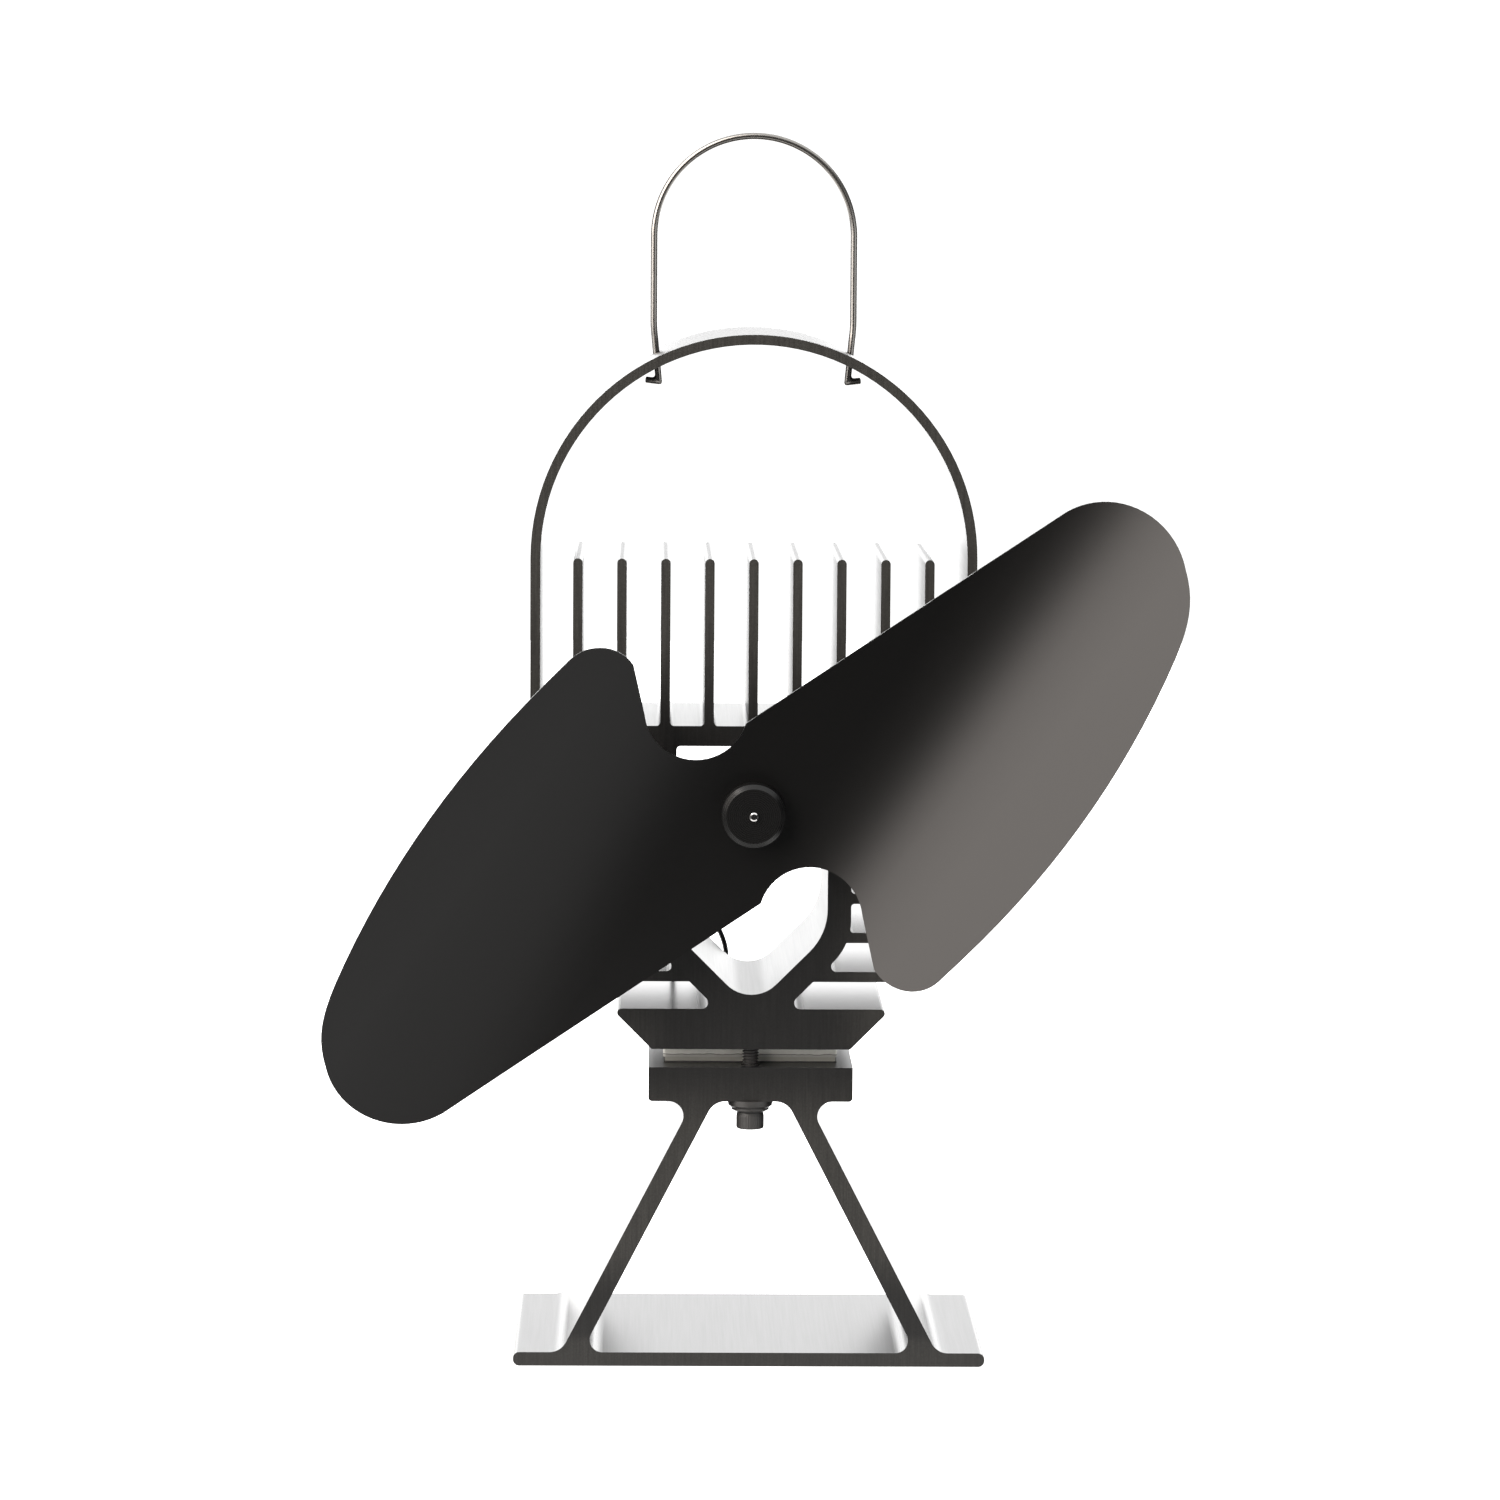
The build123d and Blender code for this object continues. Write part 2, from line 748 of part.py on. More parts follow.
def screws_on_front(spacing, seat, solid):
    """The same screw at each side of the rotor axis, driven backwards."""
    places = [Pos(side * spacing / 2, seat, axis_z) for side in (1, -1)]
    return Compound(children=[place * Rot(-90, 0, 0) * solid for place in places])


def motor_screws():
    """The screws that hold the motor to the bracket."""
    length = bracket_thickness + motor_screw_bite
    solid = screw(motor_screw_shank, length, motor_screw_head, motor_screw_head_height)
    return screws_on_front(motor_screw_spacing, motor_front_y - bracket_thickness, solid)


def bracket_screws():
    """The screws that hold the bracket's ears to the cavity walls."""
    length = bracket_thickness + bracket_screw_bite
    solid = screw(bracket_screw_shank, length, bracket_screw_head, bracket_screw_head_height)
    return screws_on_front(2 * bracket_screw_x(), front_y - bracket_thickness, solid)


def motor_shaft():
    """The shaft, from its tip ahead of the hub to the rear bush."""
    end = rear_bearing_front() + bearing_length - shaft_end_gap
    shaft = round_part(shaft_diameter / 2, hub_front_y - shaft_proud, end)
    return chamfer(shaft.edges().group_by(Axis.Y)[0], shaft_tip_chamfer)


def blade_hub():
    """A turned disc ahead of the blade, with a spigot through it."""
    disc = round_part(hub_diameter / 2, hub_front_y, blade_front_y)
    disc = chamfer(disc.edges().group_by(Axis.Y)[0], hub_chamfer)
    spigot_end = blade_back_y + collar_thickness
    disc += round_part(hub_spigot / 2, blade_front_y, spigot_end)
    bore = shaft_diameter / 2 + fit_gap
    return disc - round_part(bore, hub_front_y - overrun, spigot_end + overrun)


def hub_collar():
    """The ring on the hub's spigot that clamps the blade from behind."""
    back = blade_back_y + collar_thickness
    ring = round_part(collar_diameter / 2, blade_back_y, back)
    ring = chamfer(ring.edges().group_by(Axis.Y)[-1], collar_chamfer)
    return ring - round_part(hub_spigot / 2 + fit_gap, blade_back_y - overrun, back + overrun)


def bend_side(rise, side):
    """One half of the bent sheet's section, from the middle outwards, rise above its back."""
    radius = bend_radius - rise
    turn = math.radians(bend_turn)
    arc_end = (
        bend_flat_half + radius * math.sin(turn),
        rise + radius * (1 - math.cos(turn)),
    )
    arc_mid = (
        bend_flat_half + radius * math.sin(turn / 2),
        rise + radius * (1 - math.cos(turn / 2)),
    )
    tail_end = (
        arc_end[0] + bend_tail * math.cos(turn),
        arc_end[1] + bend_tail * math.sin(turn),
    )
    flat = Line((0, rise), (side * bend_flat_half, rise))
    arc = ThreePointArc(
        (side * bend_flat_half, rise), (side * arc_mid[0], arc_mid[1]), (side * arc_end[0], arc_end[1])
    )
    tail = Line((side * arc_end[0], arc_end[1]), (side * tail_end[0], tail_end[1]))
    return [flat, arc, tail], (side * tail_end[0], tail_end[1])


def bent_sheet():
    """The bent sheet before it is cut out, long enough along its bend lines for the blade."""
    back_right, back_right_end = bend_side(0, 1)
    back_left, back_left_end = bend_side(0, -1)
    front_right, front_right_end = bend_side(blade_thickness, 1)
    front_left, front_left_end = bend_side(blade_thickness, -1)
    ends = [Line(back_right_end, front_right_end), Line(back_left_end, front_left_end)]
    section = make_face(back_right + back_left + front_right + front_left + ends)
    bend_line = math.radians(blade_bend_angle)
    across = (math.sin(bend_line), 0, -math.cos(bend_line))
    along = (-math.cos(bend_line), 0, -math.sin(bend_line))
    plane = Plane(origin=(0, blade_back_y, axis_z), x_dir=across, z_dir=along)
    return extrude(plane * section, amount=blade_radius, both=True)


# The blade's outline, as shares of its radius in its own frame: the first along the
# straight edge, the second across it. Only one lobe is given, because the other is
# the same turned by half a turn.
tip_start_share = 0.8567
tip_mid_share = (0.9888, 0.0710)
tip_end_share = (0.9898, -0.0595)
rim_shares = ((0.9629, -0.1132), (0.8547, -0.2041), (0.2645, -0.4441))
heel_start_share = (0.1278, -0.4713)
heel_far_share = (0.0659, -0.4574)
heel_end_share = (0.0313, -0.3878)
side_end_share = (0.0699, -0.2896)
notch_mid_share = (0.0163, -0.1435)
notch_end_share = -0.0881


def blade_lobe():
    """The edges of one lobe, from the notch's corner on its straight edge round to the next."""
    def point(shares):
        return (shares[0] * blade_radius, shares[1] * blade_radius)

    start = (-notch_end_share * blade_radius, blade_straight_half)
    tip_start = (tip_start_share * blade_radius, blade_straight_half)
    rim = [point(tip_end_share)] + [point(share) for share in rim_shares] + [point(heel_start_share)]
    end = (notch_end_share * blade_radius, -blade_straight_half)
    return [
        Line(start, tip_start),
        ThreePointArc(tip_start, point(tip_mid_share), rim[0]),
        Spline(*rim),
        ThreePointArc(rim[-1], point(heel_far_share), point(heel_end_share)),
        Line(point(heel_end_share), point(side_end_share)),
        ThreePointArc(point(side_end_share), point(notch_mid_share), end),
    ]


def fan_blade():
    """The two-lobe outline cut straight through the bent sheet."""
    lobe = blade_lobe()
    edges = lobe + [Rot(0, 0, 180) * edge for edge in lobe]
    outline = Rot(0, 0, blade_straight_angle) * make_face(edges)
    blank = along_depth(outline, front_y - blade_radius, blade_back_y + overrun, axis_z)
    blade = bent_sheet() & blank
    hole = round_part(hub_spigot / 2 + fit_gap, blade_front_y - overrun, blade_back_y + overrun)
    return blade - hole


# Routes of the two leads, from the module's back edge up behind the heat sink and into
# the cavity, to the motor's terminals. These points are chosen by hand.
module_back_y = sink_mid_y + module_side / 2 + seal_overhang
terminal_end_y = motor_back_y + terminal_length
lead_exit_x = module_side / 2 - lead_inset
first_lead_route = [
    (-lead_exit_x, module_back_y, module_mid_z),
    (-lead_exit_x, 26.0, module_mid_z),
    (-18.2, 26.6, 94.0),
    (-14.6, 26.2, 113.0),
    (-9.2, 12.0, 126.5),
    (-terminal_offset, -1.5, axis_z),
    (-terminal_offset, terminal_end_y, axis_z),
]
second_lead_route = [
    (-lead_exit_x + lead_spread, module_back_y, module_mid_z),
    (-lead_exit_x + lead_spread, 25.4, module_mid_z),
    (-9.2, 27.4, 79.4),
    (-3.6, 27.6, 88.2),
    (-9.6, 27.0, 101.0),
    (-8.4, 25.4, 116.5),
    (0.6, 11.0, 127.5),
    (terminal_offset, -1.5, axis_z),
    (terminal_offset, terminal_end_y, axis_z),
]


def lead(route, name):
    """A lead as a tube: straight runs joined by arcs as large as the runs allow."""
    points = [Vector(*place) for place in route]
    runs = [(after - before).length for before, after in zip(points, points[1:])]
    radii = []
    for index in range(1, len(points) - 1):
        arriving = points[index] - points[index - 1]
        leaving = points[index + 1] - points[index]
        half_turn = math.radians(arriving.get_angle(leaving)) / 2
        shorter = min(runs[index - 1], runs[index])
        radii.append(lead_arc_share * shorter / math.tan(half_turn))
    path = FilletPolyline(*points, radius=radii)
    start = Plane(origin=path @ 0, z_dir=path % 0)
    tube = sweep(start * Circle(lead_diameter / 2), path=path)
    expected = math.pi * lead_diameter ** 2 / 4 * path.length
    print(name, "radii", [round(radius, 1) for radius in radii], "length", round(path.length, 1))
    print(name, "volume over section times length", round(tube.volume / expected, 4))
    return tube


def lead_sleeves():
    """Shrunk sleeves over the joints of leads and terminals."""
    ring = Circle(sleeve_bore / 2 + sleeve_wall) - Circle(sleeve_bore / 2)
    start = terminal_end_y - sleeve_length / 2
    sleeves = []
    for side in (1, -1):
        face = Pos(side * terminal_offset) * ring
        sleeves.append(along_depth(face, start, start + sleeve_length, axis_z))
    return Compound(children=sleeves)


hot_plate, cold_plate = module_plates()
graphite_pad_lower, graphite_pad_upper = module_pads()
nodes = {
    "base_stand": stand(),
    "heat_sink": heat_sink(),
    "carry_handle": handle(),
    "module_hot_plate": hot_plate,
    "module_cold_plate": cold_plate,
    "module_pellets": module_pellets(),
    "module_edge_seal": module_seal(),
    "graphite_pad_lower": graphite_pad_lower,
    "graphite_pad_upper": graphite_pad_upper,
    "clamp_screws": clamp_screws(),
    "flat_washers": flat_washers(),
    "spring_washers": spring_washers(),
    "motor_can": motor_can(),
    "motor_end_cap": motor_end_cap(),
    "front_bearing": bearing(motor_front_y - boss_height),
    "rear_bearing": bearing(rear_bearing_front()),
    "motor_magnets": motor_magnets(),
    "rotor_core": rotor_core(),
    "rotor_windings": rotor_windings(),
    "commutator": commutator(),
    "motor_brushes": motor_brushes(),
    "motor_terminals": motor_terminals(),
    "motor_bracket": motor_bracket(),
    "motor_screws": motor_screws(),
    "bracket_screws": bracket_screws(),
    "motor_shaft": motor_shaft(),
    "blade_hub": blade_hub(),
    "hub_collar": hub_collar(),
    "fan_blade": fan_blade(),
    "first_lead": lead(first_lead_route, "first_lead"),
    "second_lead": lead(second_lead_route, "second_lead"),
    "lead_sleeves": lead_sleeves(),
}
os.makedirs("parts", exist_ok=True)
for name, shape in nodes.items():
    export_step(shape, f"parts/{name}.step")
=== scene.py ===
import math

import bmesh
import bpy
from mathutils import Matrix, Vector


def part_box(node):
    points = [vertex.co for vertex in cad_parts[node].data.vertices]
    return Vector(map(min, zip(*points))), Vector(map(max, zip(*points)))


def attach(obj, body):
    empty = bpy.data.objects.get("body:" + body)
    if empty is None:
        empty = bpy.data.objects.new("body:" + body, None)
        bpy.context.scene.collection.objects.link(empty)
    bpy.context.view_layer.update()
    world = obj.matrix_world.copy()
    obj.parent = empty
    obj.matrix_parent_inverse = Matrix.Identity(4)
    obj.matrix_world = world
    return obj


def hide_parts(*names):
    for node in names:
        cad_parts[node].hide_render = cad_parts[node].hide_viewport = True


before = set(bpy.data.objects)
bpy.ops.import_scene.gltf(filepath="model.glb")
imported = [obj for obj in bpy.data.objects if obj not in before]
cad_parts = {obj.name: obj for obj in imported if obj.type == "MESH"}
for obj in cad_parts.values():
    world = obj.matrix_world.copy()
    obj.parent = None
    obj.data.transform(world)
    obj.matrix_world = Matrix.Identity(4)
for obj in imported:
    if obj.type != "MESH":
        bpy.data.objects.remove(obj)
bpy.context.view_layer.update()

bl_info = {
    "name": "Stove Fan",
    "version": (1, 0, 0),
    "blender": (4, 5, 0),
    "location": "View3D > Sidebar > Stove Fan",
    "description": "Finishes, screws, handle, leads and a plain stage for a heat-powered stove fan",
    "category": "Object",
}

MM = 0.001
# Vertices closer than this, in metres, become one
MERGE_DISTANCE = 1e-7
# Width of the camera's sensor in millimetres
SENSOR_WIDTH = 36.0


def centre_of(node):
    """The middle of a CAD node's box."""
    low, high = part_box(node)
    return (low + high) / 2


MODULE_HEIGHT = centre_of("module_edge_seal").z


# Materials

def new_material(name, metallic, roughness, colour):
    """A principled material, with its constants or middle values set on the shader's own sockets."""
    material = bpy.data.materials.new(name)
    material.use_nodes = True
    shader = material.node_tree.nodes["Principled BSDF"]
    shader.inputs["Metallic"].default_value = metallic
    shader.inputs["Roughness"].default_value = roughness
    shader.inputs["Base Color"].default_value = (*colour, 1.0)
    return material, material.node_tree, shader


def add_node(tree, kind, **properties):
    """A node of a kind, with its properties set by name."""
    node = tree.nodes.new(kind)
    for name, value in properties.items():
        setattr(node, name, value)
    return node


def feed(tree, socket, value):
    """Sets a number or a colour on a socket, or links anything else to it."""
    if isinstance(value, float):
        socket.default_value = value
    elif isinstance(value, tuple):
        socket.default_value = (*value, 1.0)
    else:
        tree.links.new(value, socket)


def split_vector(tree, kind):
    """The X, Y and Z outputs of a texture coordinate of a kind."""
    coordinates = add_node(tree, "ShaderNodeTexCoord")
    split = add_node(tree, "ShaderNodeSeparateXYZ")
    tree.links.new(coordinates.outputs[kind], split.inputs["Vector"])
    return split.outputs


def object_pattern(tree, scale=(1.0, 1.0, 1.0), centre=(0.0, 0.0, 0.0)):
    """Object coordinates, moved so that centre is the origin and scaled for a pattern."""
    coordinates = add_node(tree, "ShaderNodeTexCoord")
    shift = add_node(tree, "ShaderNodeMapping")
    shift.inputs["Location"].default_value = tuple(-value for value in centre)
    mapping = add_node(tree, "ShaderNodeMapping")
    mapping.inputs["Scale"].default_value = scale
    tree.links.new(coordinates.outputs["Object"], shift.inputs["Vector"])
    tree.links.new(shift.outputs["Vector"], mapping.inputs["Vector"])
    return mapping.outputs["Vector"]


def noise(tree, vector, scale, detail=3.0, roughness=0.55):
    """A noise value read at a vector."""
    node = add_node(tree, "ShaderNodeTexNoise")
    node.inputs["Scale"].default_value = scale
    node.inputs["Detail"].default_value = detail
    node.inputs["Roughness"].default_value = roughness
    tree.links.new(vector, node.inputs["Vector"])
    return node.outputs["Fac"]


def map_value(tree, value, low, high, from_low=0.0, from_high=1.0):
    """A value carried from one range to another."""
    node = add_node(tree, "ShaderNodeMapRange")
    node.inputs["From Min"].default_value = from_low
    node.inputs["From Max"].default_value = from_high
    node.inputs["To Min"].default_value = low
    node.inputs["To Max"].default_value = high
    tree.links.new(value, node.inputs["Value"])
    return node.outputs["Result"]


def step_value(tree, value, start, end):
    """A smooth step from nought to one as a value goes from start to end."""
    result = map_value(tree, value, 0.0, 1.0, start, end)
    result.node.interpolation_type = "SMOOTHSTEP"
    return result


def blend(tree, data_type, socket_type, factor, first, second):
    """A mix of two values or colours, by a factor."""
    node = add_node(tree, "ShaderNodeMix", data_type=data_type)
    tree.links.new(factor, node.inputs["Factor"])
    for name, value in (("A", first), ("B", second)):
        socket = next(item for item in node.inputs if item.name == name and item.type == socket_type)
        feed(tree, socket, value)
    return next(item for item in node.outputs if item.type == socket_type)


def blend_colours(tree, factor, first, second):
    """A colour between two colours or links, by a factor."""
    return blend(tree, "RGBA", "RGBA", factor, first, second)


def blend_values(tree, factor, first, second):
    """A value between two values or links, by a factor."""
    return blend(tree, "FLOAT", "VALUE", factor, first, second)


def absolute(tree, value):
    """A value without its sign."""
    node = add_node(tree, "ShaderNodeMath", operation="ABSOLUTE")
    tree.links.new(value, node.inputs[0])
    return node.outputs["Value"]


def combine(tree, operation, first, *others):
    """Values or links worked together by one operation, from left to right."""
    for other in others:
        node = add_node(tree, "ShaderNodeMath", operation=operation)
        feed(tree, node.inputs[0], first)
        feed(tree, node.inputs[1], other)
        first = node.outputs["Value"]
    return first


def add_bump(tree, shader, height, strength, depth):
    """Relief of a depth from a height value."""
    bump = add_node(tree, "ShaderNodeBump")
    bump.inputs["Strength"].default_value = strength
    bump.inputs["Distance"].default_value = depth
    tree.links.new(height, bump.inputs["Height"])
    tree.links.new(bump.outputs["Normal"], shader.inputs["Normal"])


def face_masks(tree):
    """Two masks: one for faces square to the extrusion's length, one for faces that look up."""
    end_start, end_full = 0.8, 0.95
    top_start, top_full = 0.87, 0.98
    normal = split_vector(tree, "Normal")
    ends = map_value(tree, absolute(tree, normal["Y"]), 0.0, 1.0, end_start, end_full)
    tops = step_value(tree, normal["Z"], top_start, top_full)
    return ends, tops


def height_step(tree, start, end):
    """A smooth step between two heights above the module."""
    height = split_vector(tree, "Object")["Z"]
    return step_value(tree, height, MODULE_HEIGHT + start, MODULE_HEIGHT + end)


def side_step(tree, start, end):
    """A smooth step between two distances from the middle plane, alike on both sides."""
    side = absolute(tree, split_vector(tree, "Object")["X"])
    return step_value(tree, side, start, end)


def painted_end_light(tree):
    """Painted light and shade on the end faces: pale where light falls on the legs, the foot, the block's
    tips, the fins and the hoop; painted shade round the module and the motor, where the blade casts its
    shadow, and darker at the legs' roots.
    """
    block_to_legs = (-1 * MM, -20 * MM)
    legs_to_roots = (-44 * MM, -58 * MM)
    roots_to_foot = (-65 * MM, -68 * MM)
    module_to_block = (0.0, 4 * MM)
    middle_to_tips = (16 * MM, 34 * MM)
    motor_to_hoop = (72 * MM, 106 * MM)
    # Shares of painted light on the ends of the legs, their roots, the foot and the block's tips; the low
    # share at the roots is painted shade
    leg_tone, root_tone, foot_tone, tip_tone = 0.8, 0.1, 0.5, 0.8
    legs = combine(tree, "MULTIPLY", height_step(tree, *block_to_legs), leg_tone)
    legs = blend_values(tree, height_step(tree, *legs_to_roots), legs, root_tone)
    stand = blend_values(tree, height_step(tree, *roots_to_foot), legs, foot_tone)
    tips = side_step(tree, *middle_to_tips)
    tips = combine(tree, "MULTIPLY", tips, height_step(tree, *module_to_block), tip_tone)
    # Painted light: full on the fins and the hoop above the motor
    return combine(tree, "MAXIMUM", stand, tips, height_step(tree, *motor_to_hoop))


def top_roughness(tree, lines):
    """Roughness of faces that look up: handled on the hoop, dusty in the cavity, smooth in the slots."""
    crossbar_to_hoop = (60 * MM, 116 * MM)
    module_to_cavity = (4 * MM, 8 * MM)
    crossbar_to_cavity = (68 * MM, 60 * MM)
    cavity_to_slots = (10 * MM, 13 * MM)
    handled, dusty, slot_roughness = 0.07, 0.045, 0.26
    wear = combine(tree, "MULTIPLY", height_step(tree, *crossbar_to_hoop), handled)
    outer = combine(tree, "ADD", lines, wear)
    cavity = combine(tree, "ADD", lines, dusty)
    inner = blend_values(tree, side_step(tree, *cavity_to_slots), cavity, slot_roughness)
    above_module = height_step(tree, *module_to_cavity)
    below_crossbar = height_step(tree, *crossbar_to_cavity)
    between = combine(tree, "MULTIPLY", above_module, below_crossbar)
    return blend_values(tree, between, outer, inner)


def extrusion_tone(tree, ends, end_mark):
    """Near black along the length, and sawn ends with painted light and shade: paler where light falls on
    them, darker in painted shade round the module and the motor.
    """
    broad = noise(tree, object_pattern(tree, (1.0, 0.15, 1.0)), scale=90.0)
    long_tone = blend_colours(tree, broad, (0.008, 0.008, 0.009), (0.013, 0.013, 0.014))
    mark = map_value(tree, end_mark, 0.0, 1.0, from_low=0.15, from_high=0.4)
    # Painted shade: the end tone where the blade shades the ends; painted light: the end tone where light
    # falls on them; both keep the saw marks
    shaded_end_tone = blend_colours(tree, mark, (0.003, 0.003, 0.003), (0.008, 0.008, 0.008))
    lit_end_tone = blend_colours(tree, mark, (0.018, 0.0175, 0.016), (0.038, 0.037, 0.034))
    end_tone = blend_colours(tree, painted_end_light(tree), shaded_end_tone, lit_end_tone)
    return blend_colours(tree, ends, long_tone, end_tone)


def long_roughness(tree, tops, die_lines, middle):
    """Roughness along the length: even on sides, smoother on the legs' sides, worn on upper faces."""
    block_to_legs = (-8 * MM, -14 * MM)
    spread, leg_polish = 0.03, 0.06
    lines = map_value(tree, die_lines, middle - spread, middle + spread)
    legs = combine(tree, "SUBTRACT", lines, leg_polish)
    sides = blend_values(tree, height_step(tree, *block_to_legs), lines, legs)
    return blend_values(tree, tops, sides, top_roughness(tree, lines))


def anodised_extrusion(name, settings):
    """Black anodised extrusion: fine die lines along its length and sawn end faces."""
    middle = settings.extrusion_roughness
    material, tree, shader = new_material(name, 0.0, middle, (0.02, 0.02, 0.02))
    ends, tops = face_masks(tree)
    lengthways = object_pattern(tree, (1.0, 0.012, 1.0))
    upright = object_pattern(tree, (1.0, 1.0, 0.03))
    die_lines = noise(tree, lengthways, scale=2600.0, detail=4.0, roughness=0.6)
    sawn = noise(tree, upright, scale=2400.0, detail=5.0, roughness=0.65)
    grain = noise(tree, object_pattern(tree), scale=5200.0, detail=2.0)
    end_mark = combine(tree, "MULTIPLY", sawn, grain)
    tree.links.new(extrusion_tone(tree, ends, end_mark), shader.inputs["Base Color"])
    long_rough = long_roughness(tree, tops, die_lines, middle)
    end_rough = map_value(tree, sawn, 0.35, 0.45)
    tree.links.new(blend_values(tree, ends, long_rough, end_rough), shader.inputs["Roughness"])
    tree.links.new(blend_values(tree, ends, 0.5, 0.3), shader.inputs["Specular IOR Level"])
    line_depth_share = 0.4
    shallow_lines = combine(tree, "MULTIPLY", die_lines, line_depth_share)
    relief = blend_values(tree, ends, shallow_lines, end_mark)
    add_bump(tree, shader, relief, strength=0.25, depth=0.04 * MM)
    return material


def blade_finish(name, settings):
    """Matt black sheet with a fine even grain."""
    tone_spread, smoother, rougher = 0.15, 0.02, 0.03
    colour, roughness = settings.blade_colour, settings.blade_roughness
    material, tree, shader = new_material(name, 0.0, roughness, colour)
    grain = noise(tree, object_pattern(tree), scale=4200.0, roughness=0.6)
    broad = noise(tree, object_pattern(tree), scale=30.0, detail=2.0)
    dark = tuple(value * (1.0 - tone_spread) for value in colour)
    light = tuple(value * (1.0 + tone_spread) for value in colour)
    tree.links.new(blend_colours(tree, broad, dark, light), shader.inputs["Base Color"])
    spread = map_value(tree, grain, roughness - smoother, roughness + rougher)
    tree.links.new(spread, shader.inputs["Roughness"])
    add_bump(tree, shader, grain, strength=0.12, depth=0.03 * MM)
    shader.inputs["Specular IOR Level"].default_value = 0.3
    return material


def turned_black(name):
    """Turned and blackened metal: faint rings round the rotor axis."""
    material, tree, shader = new_material(name, 0.0, 0.30, (0.003, 0.003, 0.003))
    place = object_pattern(tree, centre=tuple(centre_of("blade_hub")))
    rings = add_node(tree, "ShaderNodeTexWave", wave_type="RINGS", rings_direction="Y")
    rings.inputs["Scale"].default_value = 700.0
    rings.inputs["Distortion"].default_value = 0.4
    tree.links.new(place, rings.inputs["Vector"])
    tree.links.new(map_value(tree, rings.outputs["Fac"], 0.26, 0.34), shader.inputs["Roughness"])
    add_bump(tree, shader, rings.outputs["Fac"], strength=0.15, depth=0.03 * MM)
    shader.inputs["Specular IOR Level"].default_value = 0.3
    return material


def drawn_wire(name):
    """Bright drawn wire: a warm grey tone with faint marks of its drawing."""
    material, tree, shader = new_material(name, 1.0, 0.26, (0.26, 0.25, 0.235))
    marks = noise(tree, object_pattern(tree, (1.0, 1.0, 0.2)), scale=2600.0, detail=2.0)
    tree.links.new(map_value(tree, marks, 0.23, 0.29), shader.inputs["Roughness"])
    tone = blend_colours(tree, marks, (0.24, 0.23, 0.215), (0.28, 0.27, 0.255))
    tree.links.new(tone, shader.inputs["Base Color"])
    return material


def speckled(name, metallic, roughness, dark, light, scale, relief=0.1):
    """A plain finish with a small variation of tone and roughness."""
    smoother, rougher = 0.85, 1.15
    material, tree, shader = new_material(name, metallic, roughness, dark)
    mottle = noise(tree, object_pattern(tree), scale, detail=4.0, roughness=0.6)
    tree.links.new(blend_colours(tree, mottle, dark, light), shader.inputs["Base Color"])
    spread = map_value(tree, mottle, roughness * smoother, roughness * rougher)
    tree.links.new(spread, shader.inputs["Roughness"])
    add_bump(tree, shader, mottle, relief, depth=0.04 * MM)
    return material


def sealant_bead(name):
    """Grey sealant in two strokes, the lower one duller, with an uneven dark seam between them."""
    lower_end, upper_start, seam_share, seam_half = 0.32, 0.40, 0.34, 0.09
    material, tree, shader = new_material(name, 0.0, 0.55, (0.6, 0.6, 0.55))
    low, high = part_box("module_edge_seal")
    uneven = noise(tree, object_pattern(tree, (1.0, 1.0, 0.3)), scale=260.0)
    height = map_value(tree, split_vector(tree, "Object")["Z"], 0.0, 1.0, low.z, high.z)
    share = combine(tree, "ADD", height, map_value(tree, uneven, -0.2, 0.2))
    mottle = noise(tree, object_pattern(tree), scale=700.0, detail=4.0, roughness=0.6)
    upper = blend_colours(tree, mottle, (0.60, 0.60, 0.555), (0.76, 0.76, 0.71))
    lower = blend_colours(tree, mottle, (0.36, 0.36, 0.34), (0.48, 0.48, 0.45))
    strokes = blend_colours(tree, step_value(tree, share, lower_end, upper_start), lower, upper)
    from_seam = absolute(tree, combine(tree, "SUBTRACT", share, seam_share))
    seam = step_value(tree, from_seam, seam_half, 0.0)
    tree.links.new(blend_colours(tree, seam, strokes, (0.13, 0.13, 0.125)), shader.inputs["Base Color"])
    tree.links.new(map_value(tree, mottle, 0.45, 0.62), shader.inputs["Roughness"])
    add_bump(tree, shader, combine(tree, "SUBTRACT", mottle, seam), strength=0.5, depth=0.06 * MM)
    return material


def dress(material, *nodes):
    """Puts one material on CAD nodes."""
    for node in nodes:
        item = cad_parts[node]
        item.data.materials.clear()
        item.data.materials.append(material)


# Sizes and colours that a user would change

class StoveFanFinish(bpy.types.PropertyGroup):
    """Finish of the fan's large visible parts."""
    extrusion_roughness: bpy.props.FloatProperty(
        name="Extrusion roughness",
        description="Middle roughness of the black anodised stand and heat sink",
        default=0.31, min=0.0, max=1.0, subtype="FACTOR",
    )
    blade_roughness: bpy.props.FloatProperty(
        name="Blade roughness",
        description="Roughness of the blade's matt black finish",
        default=0.32, min=0.0, max=1.0, subtype="FACTOR",
    )
    blade_colour: bpy.props.FloatVectorProperty(
        name="Blade colour",
        description="Colour of the blade's finish",
        default=(0.0012, 0.0012, 0.0012), min=0.0, max=1.0, size=3, subtype="COLOR",
    )


